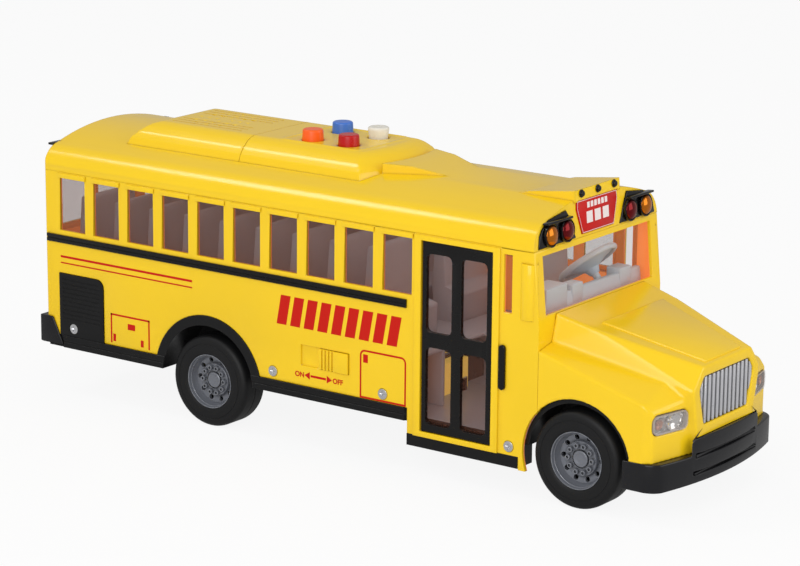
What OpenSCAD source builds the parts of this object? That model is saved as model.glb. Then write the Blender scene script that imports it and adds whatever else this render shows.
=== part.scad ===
// Toy bus with a hinged door, a lit and sounding roof console and a flywheel drive.
// +X is the front, +Y the left side, +Z up. The origin is on the ground under the middle of the box.

/* [Body] */
// Width across the side walls
body_w = 94.8; // [90:0.2:104]
// Length from the rear wall to the foot of the windscreen
body_l = 267.1; // [257:0.1:290]
// Thickness of the moulded walls
wall = 2; // [1.6:0.1:2.4]
// Radius of the upright corners at the rear
rear_r = 1.6; // [1:0.1:4]
// Backward lean of the front wall, in degrees
front_lean = 5.1; // [3:0.1:7]
// Height of the window sills above the ground
sill_z = 76.9; // [74:0.1:82]
// Height of the windows
window_h = 24.2; // [20:0.1:28]
// Height of the wall above the windows
head_h = 2.6; // [2.4:0.1:4]
// Number of windows behind the door
window_count = 10; // [8:1:12]
// Width of the pillars between the windows
pillar_w = 5.2; // [4:0.1:7]
// Distance from the rear wall to the first window
rear_pillar_w = 9.3; // [8:0.1:12]
// Height of the belt rail's lower edge
belt_z = 71.2; // [66:0.1:72]
// Height of the belt rail
belt_h = 3.6; // [2.5:0.1:4.5]

/* [Roof] */
// Rise of the crown above the roof seam
roof_rise = 17.1; // [15.5:0.1:22]
// Radius of the roof's shoulders
shoulder_r = 11.2; // [9:0.1:12]
// Angle from upright at which the shoulder meets the crown
crease_a = 10; // [6:0.5:14]
// Height of the sign header above the crown
header_rise = 3.4; // [3.2:0.1:6]
// Width of the sign header
header_w = 34.4; // [33:0.2:36]
// Length of the sign header along the roof
header_l = 34; // [24:0.5:44]

/* [Console] */
// Distance from the rear wall to the console
console_back = 34.7; // [24:0.1:40]
// Length of the console
console_l = 136.6; // [128:0.1:146]
// Width of the console at its foot
console_w = 60; // [56:0.5:64]
// Height of the console's top above the crown
console_rise = 6.3; // [6:0.1:9]
// Distance that the console's sides lean in from foot to top
console_lean = 11; // [10:0.5:12]
// Bow of the console's nose
console_bow = 7; // [5:0.5:9]
// Share of the console's length that the speaker half takes
speaker_share = 0.4685; // [0.41:0.0005:0.5]
// Diameter of the speaker
speaker_d = 32; // [26:0.5:33]

/* [Buttons] */
// Diameter of the roof buttons
button_d = 9.5; // [8:0.1:11]
// Height of the buttons above the panel
button_h = 4.7; // [3.5:0.1:6]
// Travel of the buttons
button_travel = 1.5; // [1:0.1:1.8]
// Spacing of the buttons along the bus
button_pitch_x = 19.5; // [17:0.1:22]
// Spacing of the buttons across the bus
button_pitch_y = 21.6; // [20:0.1:21.8]
// Distance from the console's nose to the middle of the buttons
button_set = 36.8; // [36:0.1:41]

/* [Door] */
// Width of the door opening
door_w = 35.6; // [30:0.1:40]
// Height of the door opening
door_h = 81.8; // [78:0.1:82]
// Distance from the door opening to the foot of the windscreen
door_front = 22.2; // [21.5:0.1:26]
// Distance from the last window to the door opening
door_pillar_w = 5.2; // [5:0.1:8]
// Thickness of the door panel
door_t = 2; // [1.6:0.1:2.2]
// Width of the door's stiles
stile_w = 2.4; // [2:0.1:4]
// Height of the door's middle rail
middle_rail_h = 6.5; // [5:0.1:9]

/* [Hood] */
// Distance that the hood reaches in front of the windscreen foot
hood_l = 60.7; // [58:0.1:66]
// Fall of the hood from the windscreen to its lip
hood_fall = 15.8; // [12:0.1:18]
// Width of the hood's top at the windscreen
hood_rear_w = 69; // [64:0.5:74]
// Width of the hood's top at its lip
hood_front_w = 39; // [36:0.5:42]
// How much narrower the grille is than half the body
grille_border = 4.4; // [2:0.1:9]
// Height of the radiator grille
grille_h = 19.7; // [17:0.1:20]
// Number of upright bars in the grille
grille_bars = 13; // [9:1:15]
// Gap between the grille and a headlight
light_gap = 4.1; // [3:0.1:6]
// Gap between a headlight and the body's side
light_edge = 2.2; // [1.6:0.1:4]
// Height of a headlight
light_h = 8; // [7:0.1:9]

/* [Lamps] */
// Diameter of the warning lamps
lamp_d = 8.8; // [7:0.1:9.2]
// Depth of the visors over the warning lamps
visor_d = 2.6; // [2:0.1:3]
// Diameter of the tail lamps
tail_d = 9; // [6:0.1:11]

/* [Chassis] */
// Height of the chassis above the ground
chassis_z = 22.4; // [22:0.1:24]
// Height of the lower rail
rail_h = 5.6; // [5:0.1:7]
// Thickness of the chassis floor
floor_t = 2; // [1.6:0.1:2.6]
// Height of the door step's underside above the ground
step_z = 12; // [10:0.1:13]
// Height of the door step's face
step_h = 5; // [4:0.1:5]
// Reach of the rear bumper behind the rear wall
rear_bumper_d = 3.5; // [3.2:0.1:6]
// Reach of the front bumper ahead of the hood
front_bumper_d = 2.2; // [2:0.1:5]
// Height of the front bumper's underside above the ground
bumper_z = 13.5; // [11:0.1:15]

/* [Wheels] */
// Radius of the tyres
wheel_r = 20.5; // [19.5:0.1:21]
// Width of the tyres
tyre_w = 15; // [13:0.1:15.5]
// Radius of the rims
rim_r = 12.3; // [11.5:0.1:13]
// Distance from the cowl forward to the front axle
axle_ahead = 18.6; // [16:0.1:21]
// Distance from the rear wall to the rear axle
rear_overhang = 94.8; // [93:0.1:98]
// Radius of the axles
axle_r = 1.5; // [1.2:0.1:1.8]
// Radius of the wheel arches
arch_r = 25.5; // [24.5:0.1:26]
// Width of the rear arches' flare
flare_w = 4.5; // [3:0.1:5]
// Tooth size of the drive gears
gear_m = 0.8; // [0.7:0.05:0.85]

/* [Switch] */
// Length of the switch recess
switch_l = 25.7; // [24:0.1:28]
// Height of the switch recess
switch_h = 9.2; // [8:0.1:10]
// Travel of the power slider
slider_travel = 10; // [7:0.1:11]

/* [Fits] */
// Gap around pieces that slide or are set into a pocket
clear = 0.15; // [0.1:0.01:0.25]
// Radial gap of shafts and pins in their bores
run = 0.05; // [0.03:0.01:0.08]
// Gap around the door
door_gap = 0.35; // [0.3:0.05:0.6]

/* [Hidden] */
$fn = 48;

// A length past every face, for cuts
far = 400;
// Reach of a shallow cut past a face
poke = 4;
// Overlap that joins two shapes of one piece
lap = 0.5;

// Places along the bus
hw = body_w / 2;
total_l = rear_bumper_d + body_l + hood_l + front_bumper_d;
body_x0 = rear_bumper_d - total_l / 2;
cowl_x = body_x0 + body_l;
nose_x = cowl_x + hood_l;
bumper_x = nose_x + front_bumper_d;
rear_axle_x = body_x0 + rear_overhang;
front_axle_x = cowl_x + axle_ahead;
door_x1 = cowl_x - door_front;
door_x0 = door_x1 - door_w;
step_x0 = door_x0 - 7;
leg_x0 = front_axle_x - arch_r - 2;
window_x0 = body_x0 + rear_pillar_w;
window_x1 = door_x0 - door_pillar_w;
window_pitch = (window_x1 - window_x0 + pillar_w) / window_count;
window_w = window_pitch - pillar_w;
left_count = window_count + floor((door_x1 - window_x1) / window_pitch);
quarter_gap = 4.9;
quarter_w = 4;
quarter_x = door_x1 + quarter_gap;

// Heights
rail_z1 = chassis_z + rail_h;
floor_z = chassis_z + floor_t;
step_z1 = step_z + step_h;
leg_z = step_z - 0.6;
head_z = sill_z + window_h;
seam_z = head_z + head_h;
roof_z = seam_z + roof_rise;
lean_z = sill_z - 4;
door_z0 = step_z1 + 2.4;
door_z1 = door_z0 + door_h;

// Glazing and trim
pane_t = 1.2;
pane_lap = 2.5;
trim_t = 0.8;
lip_t = 0.7;
surround_t = 1;
surround_w = 3.4;

// Screws that hold the body to the chassis: place along the bus and height
screw_head_r = 2.35;
screw_head_t = 1.2;
screw_r = 1.1;
screw_l = 7;
screw_rise = 3.8;
screws = [
    [body_x0 + 16.5, rail_z1 + screw_rise],
    [rear_axle_x + arch_r + flare_w + 6.4, rail_z1 + screw_rise],
    [door_x0 - 19.5, rail_z1 + screw_rise],
    [door_x1 + 8.7, step_z1 + screw_rise]
];

// Basic shapes

module box(a, b) translate(a) cube(b - a);

// A (y, z) outline drawn out along the bus
module along_x(x, l) translate([x, 0, 0]) rotate([90, 0, 90]) linear_extrude(l) children();

// An (x, z) outline drawn out across the bus
module across_y(y, w) translate([0, y + w, 0]) rotate([90, 0, 0]) linear_extrude(w) children();

// A round bar across the bus
module bar_y(x, z, y0, y1, r) translate([x, y1, z]) rotate([90, 0, 0]) cylinder(r = r, h = y1 - y0);

// The right side as drawn, and its mirror image on the left
module both_sides() {
    children();
    mirror([0, 1, 0]) children();
}

// The right side as drawn, or the left side
module on_side(left) mirror([0, left ? 1 : 0, 0]) children();

module rounded_rect(w, h, r) {
    translate([-w / 2, -h / 2 + r]) square([w, h - 2 * r]);
    translate([-w / 2 + r, -h / 2]) square([w - 2 * r, h]);
    for (sx = [-1, 1], sy = [-1, 1]) translate([sx * (w / 2 - r), sy * (h / 2 - r)]) circle(r);
}

// The leaning front wall: x is out of the wall, z up along it
module front_frame() translate([cowl_x, 0, lean_z]) rotate([0, -front_lean, 0]) children();

module ahead_of_front(inset) front_frame() translate([-inset, -far, -far]) cube(2 * far);

function up_front(z) = (z - lean_z) / cos(front_lean);

// Body

module body_plan(inset) {
    r = max(rear_r - inset, 0.3);
    x0 = body_x0 + inset;
    w = body_w - 2 * inset;
    translate([x0 + r, -w / 2]) square([cowl_x - inset - x0 - r, w]);
    translate([x0, -w / 2 + r]) square([r + lap, w - 2 * r]);
    for (s = [-1, 1]) translate([x0 + r, s * (w / 2 - r)]) circle(r);
}

module body_block(inset, z0, z1) difference() {
    translate([0, 0, z0]) linear_extrude(z1 - z0) body_plan(inset);
    ahead_of_front(inset);
}

// Cuts through one side wall, drawn on the right
module wall_cut(x, z, w, h) box([x, -hw - poke, z], [x + w, -hw + wall + lap, z + h]);

module window_cuts() {
    for (i = [0 : window_count - 1]) wall_cut(window_x0 + i * window_pitch, sill_z, window_w, window_h);
    wall_cut(quarter_x, sill_z, quarter_w, window_h);
    mirror([0, 1, 0]) {
        for (i = [0 : left_count - 1]) wall_cut(window_x0 + i * window_pitch, sill_z, window_w, window_h);
        wall_cut(quarter_x, sill_z, quarter_w, window_h);
    }
}

// Rain lips over the windows, drawn on the right
module rain_lips(count) {
    for (i = [0 : count - 1]) {
        x = window_x0 + i * window_pitch;
        box([x - 0.8, -hw - lip_t, head_z], [x + window_w + 0.8, -hw + lap, head_z + head_h - 0.4]);
    }
}

module rear_pane(y, w) box([body_x0 - poke, y - w / 2, sill_z], [body_x0 + wall + lap, y + w / 2, head_z]);

rear_door_w = 34;
rear_pane_w = 26;
rear_door_gap = 3;
rear_pane_edge = 8.4;
rear_side_pane_w = hw - rear_pane_edge - rear_door_w / 2 - rear_door_gap;
rear_side_pane_y = rear_door_w / 2 + rear_door_gap + rear_side_pane_w / 2;

mirror_r = 4;
mirror_x = cowl_x - 5.8;

// Moulded mirror on the front corner, drawn on the right
module mirror_boss() intersection() {
    translate([mirror_x, -hw + 2.4, sill_z - 1.5]) cylinder(r = mirror_r, h = window_h - 1);
    box([mirror_x - far, -hw - far, 0], [mirror_x + far, -hw + wall, far]);
}

hinge_x = door_x0 + door_gap + door_t / 2;
door_proud = 0.6;
hinge_y = -(hw + door_proud - door_t / 2);
pin_r = 0.7;
pin_l = 1.6;

switch_gap = 37.3;
switch_x1 = door_x0 - switch_gap;
switch_x0 = switch_x1 - switch_l;
switch_z0 = rail_z1 + 9;
switch_zc = switch_z0 + switch_h / 2;
switch_deep = wall / 2;
slider_l = switch_l - slider_travel - 2 * clear;
stem_l = 4;
stem_h = 3;
stem_gap = 0.8;
stem_x = switch_x1 - clear - stem_gap - stem_l / 2;

module switch_cuts() {
    box([switch_x0, -hw - poke, switch_z0], [switch_x1, -hw + switch_deep, switch_z0 + switch_h]);
    box([stem_x - stem_l / 2 - slider_travel - clear, -hw, switch_zc - stem_h / 2 - clear],
        [stem_x + stem_l / 2 + clear, -hw + wall + lap, switch_zc + stem_h / 2 + clear]);
}

louvre_x0 = body_x0 + 8.3;
louvre_w = 26.2;
louvre_h = 29;
louvre_t = 1;
louvre_deep = 0.6;
louvre_r = 4;

// Outline of the louvred panel in (x, z)
module louvre_outline(grow) {
    w = louvre_w + 2 * grow;
    h = louvre_h + grow;
    translate([louvre_x0 - grow, rail_z1]) {
        square([w - louvre_r, h]);
        square([w, h - louvre_r]);
        translate([w - louvre_r, h - louvre_r]) circle(louvre_r);
    }
}

module body_shell() color("gold") difference() {
    union() {
        body_block(0, leg_z, seam_z);
        rain_lips(window_count);
        mirror([0, 1, 0]) rain_lips(left_count);
        box([door_x0 - surround_w, -hw - surround_t, step_z1], [door_x1 + surround_w, -hw + lap, seam_z - 0.3]);
        both_sides() mirror_boss();
        box([body_x0 - trim_t, -rear_door_w / 2, rail_z1 + 9], [body_x0 + lap, rear_door_w / 2, seam_z - 0.3]);
    }
    body_block(wall, 0, far);
    box([body_x0 - far, -far, 0], [step_x0, far, rail_z1]);
    box([step_x0 - lap, -far, 0], [leg_x0, far, step_z1]);
    box([leg_x0 - lap, -hw + wall, 0], [far, hw - wall, rail_z1]);
    both_sides() {
        bar_y(rear_axle_x, wheel_r, -hw - 2, -hw + wall + lap, arch_r + flare_w);
        bar_y(front_axle_x, wheel_r, -hw - 2, -liner_y + wall, arch_r);
        for (s = screws) {
            bar_y(s[0], s[1], -far, -hw + wall + lap, screw_r + run);
            bar_y(s[0], s[1], -far, -hw + screw_head_t - 0.4, screw_head_r + clear);
        }
        across_y(-hw - lap, louvre_deep + lap) louvre_outline(clear);
    }
    window_cuts();
    rear_pane(0, rear_pane_w);
    for (s = [-1, 1]) rear_pane(s * rear_side_pane_y, rear_side_pane_w);
    front_frame() box([-wall - poke, -screen_w / 2, up_front(sill_z)], [far, screen_w / 2, up_front(head_z)]);
    box([door_x0, -far, door_z0], [door_x1, -hw + wall + lap, door_z1]);
    translate([hinge_x, hinge_y, door_z0 - pin_l - clear]) cylinder(r = pin_r + run, h = door_h + 2 * (pin_l + clear));
    switch_cuts();
}

screen_w = body_w - 11.8;

// Hood with its fenders

hood_z1 = sill_z - 0.2;
lip_z = hood_z1 - hood_fall;
hood_z0 = rail_z1 - 2.6;
// Height below the hood's open underside, where its corners end
hood_foot = hood_z0 - 2;
crease_z0 = sill_z - 12.5;
crease_z1 = lip_z - 6.5;
nose_w = hood_front_w + 15;
grille_w = hw - grille_border;
light_w = hw - grille_w / 2 - light_gap - light_edge;
light_y = hw - light_edge - light_w / 2;
light_z = hood_z0 + 15.3;
fender_x = cowl_x + hood_l - 7.5;

// Corners of the hood's middle, on the right, moved in by a wall's thickness
function nose_points(inset) = [
    [cowl_x - lap, hood_rear_w / 2 - inset, hood_z1 - inset],
    [cowl_x + hood_l * 0.28, hood_rear_w / 2 - 2 - inset, hood_z1 - hood_fall * 0.28 - inset],
    [cowl_x - lap, hood_rear_w / 2 + 3.5 - inset, crease_z0 - inset],
    [cowl_x - lap, hood_rear_w / 2 + 3.5 - inset, hood_foot],
    [nose_x - inset, hood_front_w / 2 - inset, lip_z - inset],
    [nose_x - inset, nose_w / 2 - inset, crease_z1 - 2.5],
    [nose_x - inset, nose_w / 2 - 6 - inset, hood_foot]
];

// Corners of the fenders, on the right, moved in by a wall's thickness
function fender_points(inset) = [
    [cowl_x - lap, hw - inset, hood_foot],
    [cowl_x - lap, hw - inset, crease_z0 - 1 - inset],
    [cowl_x - lap, hood_rear_w / 2 + 3, crease_z0 + 1 - inset],
    [fender_x - 3.5, hw - inset, hood_foot],
    [fender_x - 3.5, hw - 0.6 - inset, lip_z - 12 - inset],
    [fender_x - inset, hw - 2.2 - inset, hood_foot],
    [fender_x - inset, hw - 2.2 - inset, lip_z - 15 - inset],
    [nose_x - 12, nose_w / 2, crease_z1 + 0.4 - inset],
    [nose_x - 2.2 - inset, nose_w / 2 - 5, hood_foot],
    [nose_x - 2.2 - inset, nose_w / 2 - 5, lip_z - 12 - inset]
];

// The least convex block around the points on the right and their mirror images
module mirrored_hull(points) {
    all_points = [for (s = [-1, 1], p = points) [p[0], s * p[1], p[2]]];
    hull() polyhedron(all_points, [[for (i = [0 : len(all_points) - 1]) i]]);
}

module hood_form(inset) {
    mirrored_hull(nose_points(inset));
    mirrored_hull(fender_points(inset));
}

grille_z0 = hood_z0 + 11.4;

// Outline of the radiator grille in (y, z)
module grille_outline(grow) {
    w = grille_w / 2 + grow;
    h = grille_h + 2 * grow;
    translate([0, grille_z0 - grow]) polygon([
        [-w + 4.2, 0], [w - 4.2, 0], [w, h * 0.75], [w - 3.5, h], [-w + 3.5, h], [-w, h * 0.75]
    ]);
}

light_turn = atan2(nose_x - 2.2 - fender_x, hw + 2.8 - nose_w / 2);
light_x = (fender_x + nose_x - 2.2) / 2 - 0.7;

// The right headlight: x is out of the lens
module light_frame() translate([light_x, -light_y, light_z]) rotate([0, 0, -light_turn]) children();

module light_outline(grow) rounded_rect(light_w + 2 * grow, light_h + 2 * grow, 2.6);

module hood() color("gold") difference() {
    hood_form(0);
    hood_form(wall);
    box([-far, -far, 0], [cowl_x, far, far]);
    box([-far, -far, -far], [far, far, hood_z0]);
    both_sides() {
        bar_y(front_axle_x, wheel_r, -far, -liner_y + wall, arch_r);
        light_frame() along_x(-8, 16) light_outline(clear);
    }
    along_x(nose_x - 8, 16) grille_outline(clear);
}

module radiator_grille() color("silver") {
    along_x(nose_x - 2.8, 1.2) grille_outline(0);
    intersection() {
        along_x(nose_x - 2.8, 2.5) grille_outline(0);
        for (i = [0 : grille_bars - 1]) {
            y = (i - (grille_bars - 1) / 2) * grille_w / grille_bars;
            box([nose_x - 2.8, y - grille_w / grille_bars * 0.28, 0], [nose_x, y + grille_w / grille_bars * 0.28, far]);
        }
    }
}

lens_t = 2.2;
lens_back = 1.4;
bowl_t = 3.6;

module headlight_lens() light_frame() along_x(-lens_back, lens_t) light_outline(0);

module headlight_reflector() light_frame() difference() {
    along_x(-lens_back - bowl_t, bowl_t) light_outline(0);
    translate([-lens_back + 1, -light_w * 0.12, 0]) sphere(r = light_h / 2 - 0.4);
    translate([-lens_back + 1, light_w * 0.32, 0]) sphere(r = light_h / 2 - 1);
}

module headlight_lens_right() color([0.85, 0.87, 0.88, 0.6]) headlight_lens();

module headlight_lens_left() color([0.85, 0.87, 0.88, 0.6]) on_side(true) headlight_lens();

module headlight_reflectors() color("silver") both_sides() headlight_reflector();

// Roof

// Cross-section of the roof in (y, z)
module roof_section(inset) {
    r = shoulder_r - inset;
    cy = hw - shoulder_r;
    top = roof_z - inset;
    ky = cy + r * sin(crease_a);
    rise = top - seam_z - r * cos(crease_a);
    crown_r = (ky * ky + rise * rise) / (2 * rise);
    intersection() {
        translate([0, top - crown_r]) circle(crown_r, $fn = 200);
        translate([-ky - lap, seam_z - inset]) square([2 * (ky + lap), far]);
    }
    for (s = [-1, 1]) intersection() {
        union() {
            translate([s * cy, seam_z]) circle(r);
            translate([s * cy - r, seam_z - inset]) square([2 * r, inset + 0.001]);
        }
        translate([s > 0 ? ky : -ky - far, seam_z - inset]) square([far, far]);
    }
}

module roof_block(inset) difference() {
    intersection() {
        along_x(body_x0 + inset, body_l - inset) roof_section(inset);
        translate([0, 0, seam_z - inset]) linear_extrude(far) body_plan(inset);
    }
    ahead_of_front(inset);
}

console_x0 = body_x0 + console_back;
console_x1 = console_x0 + console_l;
speaker_l = console_l * speaker_share;
console_seam = console_x0 + speaker_l;
console_z1 = roof_z + console_rise;
// Height of the crown at the console's side, where the ledge carries it
ledge_z = roof_z - 5.6;
ledge_t = 2;
ledge_w = 3;

// Plan of the console, with its bowed nose
module console_plan(grow) {
    w = console_w + 2 * grow;
    bow_r = (console_w * console_w / 4 + console_bow * console_bow) / (2 * console_bow);
    translate([console_x0 - grow, -w / 2]) square([console_l - 2 * console_bow + grow, w]);
    intersection() {
        translate([console_x1 - bow_r, 0]) circle(bow_r + grow, $fn = 120);
        translate([console_x1 - 3 * console_bow, -w / 2]) square([3 * console_bow + grow, w]);
    }
}

header_proud = 1;

// Header that carries the sign, running back into the roof
module header() difference() {
    across_y(-header_w / 2, header_w) polygon([
        [cowl_x - header_l, roof_z - wall], [cowl_x, roof_z - wall],
        [cowl_x, roof_z + header_rise], [cowl_x - header_l + 9, roof_z + 0.2]
    ]);
    ahead_of_front(-header_proud);
}

spine_l = 34;

// Ramp ahead of the console
module spine() intersection() {
    across_y(-far / 2, far) polygon([
        [console_x1 - console_bow, roof_z - wall], [console_x1 + spine_l, roof_z - wall],
        [console_x1 + 10, roof_z + 2.4], [console_x1 - console_bow, roof_z + 2.8]
    ]);
    linear_extrude(far) polygon([
        [console_x1 - console_bow, -21], [console_x1 + spine_l, -9],
        [console_x1 + spine_l, 9], [console_x1 - console_bow, 21]
    ]);
}

// Outline of a warning lamp box in (y, height above its foot), on the left
module lamp_box_outline(grow) polygon([
    [17.1 - grow, -grow], [hw - 2.8 + grow, -grow], [hw - 3.8 + grow, 5], [hw - 5.6 + grow, 7.4 + grow],
    [hw - 10.8, 10.6 + grow], [23.4 - grow, 12.4 + grow]
]);

lamp_box_z = seam_z + 0.7;
lamp_box_deep = 1;
lamp_box_t = 1.6;
sign_z0 = seam_z + 1.4;
sign_h = 14;
sign_t = 1;
sign_deep = 0.5;

module sign_outline(grow) translate([0, up_front(sign_z0)]) polygon([
    [-12.1 - grow, -grow], [12.1 + grow, -grow], [15.6 + grow, sign_h * 0.75],
    [15.2 + grow, sign_h + grow], [-15.2 - grow, sign_h + grow], [-15.6 - grow, sign_h * 0.75]
]);

// The upright rear wall, drawn like the front one
module rear_frame() translate([body_x0, 0, lean_z]) mirror([1, 0, 0]) children();

module lamp_box_place(front) {
    if (front) front_frame() translate([0, 0, up_front(lamp_box_z)]) children();
    else rear_frame() translate([0, 0, lamp_box_z - lean_z]) children();
}

module roof_shell() color("gold") difference() {
    union() {
        difference() {
            roof_block(0);
            roof_block(wall);
        }
        intersection() {
            roof_block(0);
            translate([0, 0, ledge_z - ledge_t]) linear_extrude(far) console_plan(wall);
        }
        header();
        spine();
    }
    translate([0, 0, ledge_z]) linear_extrude(far) console_plan(clear);
    linear_extrude(far) console_plan(-ledge_w);
    for (front = [true, false]) both_sides() lamp_box_place(front)
        along_x(-lamp_box_deep, far) mirror([1, 0]) lamp_box_outline(clear);
    front_frame() along_x(-sign_deep, far) sign_outline(clear);
}

// Console

console_top_t = 2;

// Height and lean of the console's section from foot to top, as shares of the whole
console_curve = [[0, 0], [0.3, 0.11], [0.57, 0.29], [0.82, 0.58], [0.93, 0.78], [1, 1]];
slab_t = 0.1;

module console_form(inset) {
    foot = ledge_z + 1.6;
    hull() for (c = console_curve)
        translate([0, 0, foot + c[0] * (console_z1 - inset - foot) - slab_t])
            linear_extrude(slab_t) console_plan(-c[1] * console_lean - inset);
    translate([0, 0, ledge_z]) linear_extrude(1.6) console_plan(-inset);
}

module console_shell() difference() {
    console_form(0);
    console_form(console_top_t);
    translate([0, 0, ledge_z - lap]) linear_extrude(1) console_plan(-console_top_t);
}

button_x = console_x1 - button_set;
panel_l = button_pitch_x + 23.5;
panel_w = button_pitch_y + 16.4;
border_w = 0.8;
border_h = 0.5;
panel_under = console_z1 - console_top_t;
flange_t = 1.1;
flange_w = 1.2;
board_t = 1.6;
pad_t = 0.8;
dome_r = 2.6;
dome_h = 1.8;
board_z = panel_under - flange_t - button_travel - 0.3 - dome_h - pad_t - board_t;
board_l = button_pitch_x + 20;
board_w = button_pitch_y + 20;
post_w = 3;
speaker_hole_r = 0.6;

// Button places: front or rear row, right or left
button_places = [[-1, -1], [-1, 1], [1, -1], [1, 1]];

function button_at(i) = [
    button_x + button_places[i][0] * button_pitch_x / 2,
    button_places[i][1] * button_pitch_y / 2
];

speaker_x = console_x0 + speaker_l / 2;

module speaker_cover() color("gold") difference() {
    intersection() {
        console_shell();
        box([-far, -far, 0], [console_seam - clear / 2, far, far]);
    }
    for (ring = [1 : 3], k = [0 : 4 * ring - 1]) translate([
        speaker_x + ring * 4.4 * cos(90 * k / ring), ring * 4.4 * sin(90 * k / ring), console_z1 - 3
    ]) cylinder(r = speaker_hole_r, h = 6, $fn = 16);
}

module button_cover() color("gold") difference() {
    union() {
        intersection() {
            console_shell();
            box([console_seam + clear / 2, -far, 0], [far, far, far]);
        }
        for (sx = [-1, 1], sy = [-1, 1]) {
            x = button_x + sx * (board_l - post_w) / 2;
            y = sy * (board_w - post_w) / 2;
            box([x - post_w / 2, y - post_w / 2, board_z + board_t], [x + post_w / 2, y + post_w / 2, panel_under + lap]);
        }
        translate([button_x, 0, console_z1 - lap]) linear_extrude(lap + border_h) difference() {
            rounded_rect(panel_l, panel_w, 4);
            rounded_rect(panel_l - 2 * border_w, panel_w - 2 * border_w, 4 - border_w);
        }
    }
    for (i = [0 : 3]) translate(button_at(i)) cylinder(r = button_d / 2 + run, h = far);
}

module button(i) translate(button_at(i)) {
    translate([0, 0, panel_under - flange_t]) cylinder(r = button_d / 2, h = console_top_t + flange_t + button_h);
    translate([0, 0, panel_under - flange_t]) cylinder(r = button_d / 2 + flange_w, h = flange_t);
}

module button_orange() color("darkorange") button(0);

module button_blue() color("royalblue") button(1);

module button_red() color("firebrick") button(2);

module button_white() color("ivory") button(3);

module button_pad() color("dimgray") {
    z = board_z + board_t;
    l = button_pitch_x + 2 * dome_r + 4;
    w = button_pitch_y + 2 * dome_r + 4;
    box([button_x - l / 2, -w / 2, z], [button_x + l / 2, w / 2, z + pad_t]);
    for (i = [0 : 3]) translate(concat(button_at(i), z)) cylinder(r1 = dome_r, r2 = dome_r - 0.8, h = pad_t + dome_h);
}

module circuit_board() color("darkgreen")
    box([button_x - board_l / 2, -board_w / 2, board_z], [button_x + board_l / 2, board_w / 2, board_z + board_t]);

module speaker() color("dimgray") translate([speaker_x, 0, panel_under]) rotate([180, 0, 0]) {
    difference() {
        cylinder(r = speaker_d / 2, h = 3);
        translate([0, 0, -1]) cylinder(r = speaker_d / 2 - 2.5, h = 2.4);
    }
    translate([0, 0, 3 - lap]) cylinder(r1 = speaker_d / 2 - 4, r2 = speaker_d / 4, h = 2.5 + lap);
    translate([0, 0, 5]) cylinder(r = speaker_d / 4, h = 3);
}

// Switch on the right side

module power_slider() color("goldenrod") {
    x0 = switch_x1 - clear - slider_l;
    z0 = switch_z0 + clear;
    difference() {
        box([x0, -hw - 0.9, z0], [x0 + slider_l, -hw + switch_deep, z0 + switch_h - 2 * clear]);
        for (i = [0 : 3]) box([x0 + 1.5 + 1.8 * i, -hw - poke, z0 - 1], [x0 + 2.3 + 1.8 * i, -hw - 0.2, far]);
    }
    box([stem_x - stem_l / 2, -hw + switch_deep - lap, switch_zc - stem_h / 2],
        [stem_x + stem_l / 2, -hw + wall + 2, switch_zc + stem_h / 2]);
}

module slide_switch() color("dimgray") difference() {
    box([switch_x0, -hw + wall, switch_zc - 4], [switch_x1, -hw + wall + 6, switch_zc + 4]);
    box([stem_x - stem_l / 2 - slider_travel - clear, -hw, switch_zc - stem_h / 2 - clear],
        [stem_x + stem_l / 2 + clear, -hw + wall + 2 + clear, switch_zc + stem_h / 2 + clear]);
}

// Door

door_in_x0 = hinge_x;
door_in_x1 = door_x1 - door_gap;
door_in_z0 = door_z0 + door_gap;
door_in_z1 = door_z1 - door_gap;
pane_x0 = door_x0 + door_gap + stile_w;
door_pane_w = (door_in_x1 - stile_w - pane_x0 - 2 * stile_w) / 2;
door_top_h = 4.8;
door_foot_h = 3.2;
door_pane_h = (door_in_z1 - door_in_z0 - middle_rail_h - door_top_h - door_foot_h) / 2;
door_pane_r = 2.2;

module door_frame() color([0.1, 0.1, 0.1]) {
    difference() {
        union() {
            box([door_in_x0, hinge_y - door_t / 2, door_in_z0], [door_in_x1, hinge_y + door_t / 2, door_in_z1]);
            translate([hinge_x, hinge_y, door_in_z0]) cylinder(r = door_t / 2, h = door_in_z1 - door_in_z0);
        }
        for (i = [0, 1], k = [0, 1]) across_y(-hw - far / 2, far) translate([
            pane_x0 + door_pane_w / 2 + i * (door_pane_w + 2 * stile_w),
            door_in_z0 + door_foot_h + door_pane_h / 2 + k * (door_pane_h + middle_rail_h)
        ]) rounded_rect(door_pane_w, door_pane_h, door_pane_r);
    }
    translate([hinge_x, hinge_y, door_z0 - pin_l]) cylinder(r = pin_r, h = pin_l + door_gap + lap);
    translate([hinge_x, hinge_y, door_in_z1 - lap]) cylinder(r = pin_r, h = pin_l + door_gap + lap);
}

door_pane_t = 0.8;

module door_glazing() color([0.35, 0.3, 0.28, 0.5]) box(
    [door_in_x0 + 0.8, hinge_y + door_t / 2, door_in_z0 + 1.2],
    [door_in_x1 - 1.2, hinge_y + door_t / 2 + door_pane_t, door_in_z1 - 1.2]
);

// Glazing behind the windows

module side_pane(x0, x1) box([x0, -hw + wall, sill_z - pane_lap], [x1, -hw + wall + pane_t, head_z + pane_lap - 0.3]);

module side_glazing_right() color([0.35, 0.3, 0.28, 0.5]) {
    side_pane(window_x0 - pane_lap, window_x1 + pane_lap);
    side_pane(quarter_x - pane_lap, quarter_x + quarter_w + pane_lap);
}

module side_glazing_left() color([0.35, 0.3, 0.28, 0.5])
    on_side(true) side_pane(window_x0 - pane_lap, quarter_x + quarter_w + pane_lap);

module windscreen() color([0.35, 0.3, 0.28, 0.5]) front_frame() box(
    [-wall - pane_t, -screen_w / 2 - 1.5, up_front(sill_z - pane_lap)],
    [-wall, screen_w / 2 + 1.5, up_front(head_z + 1.5)]
);

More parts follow.
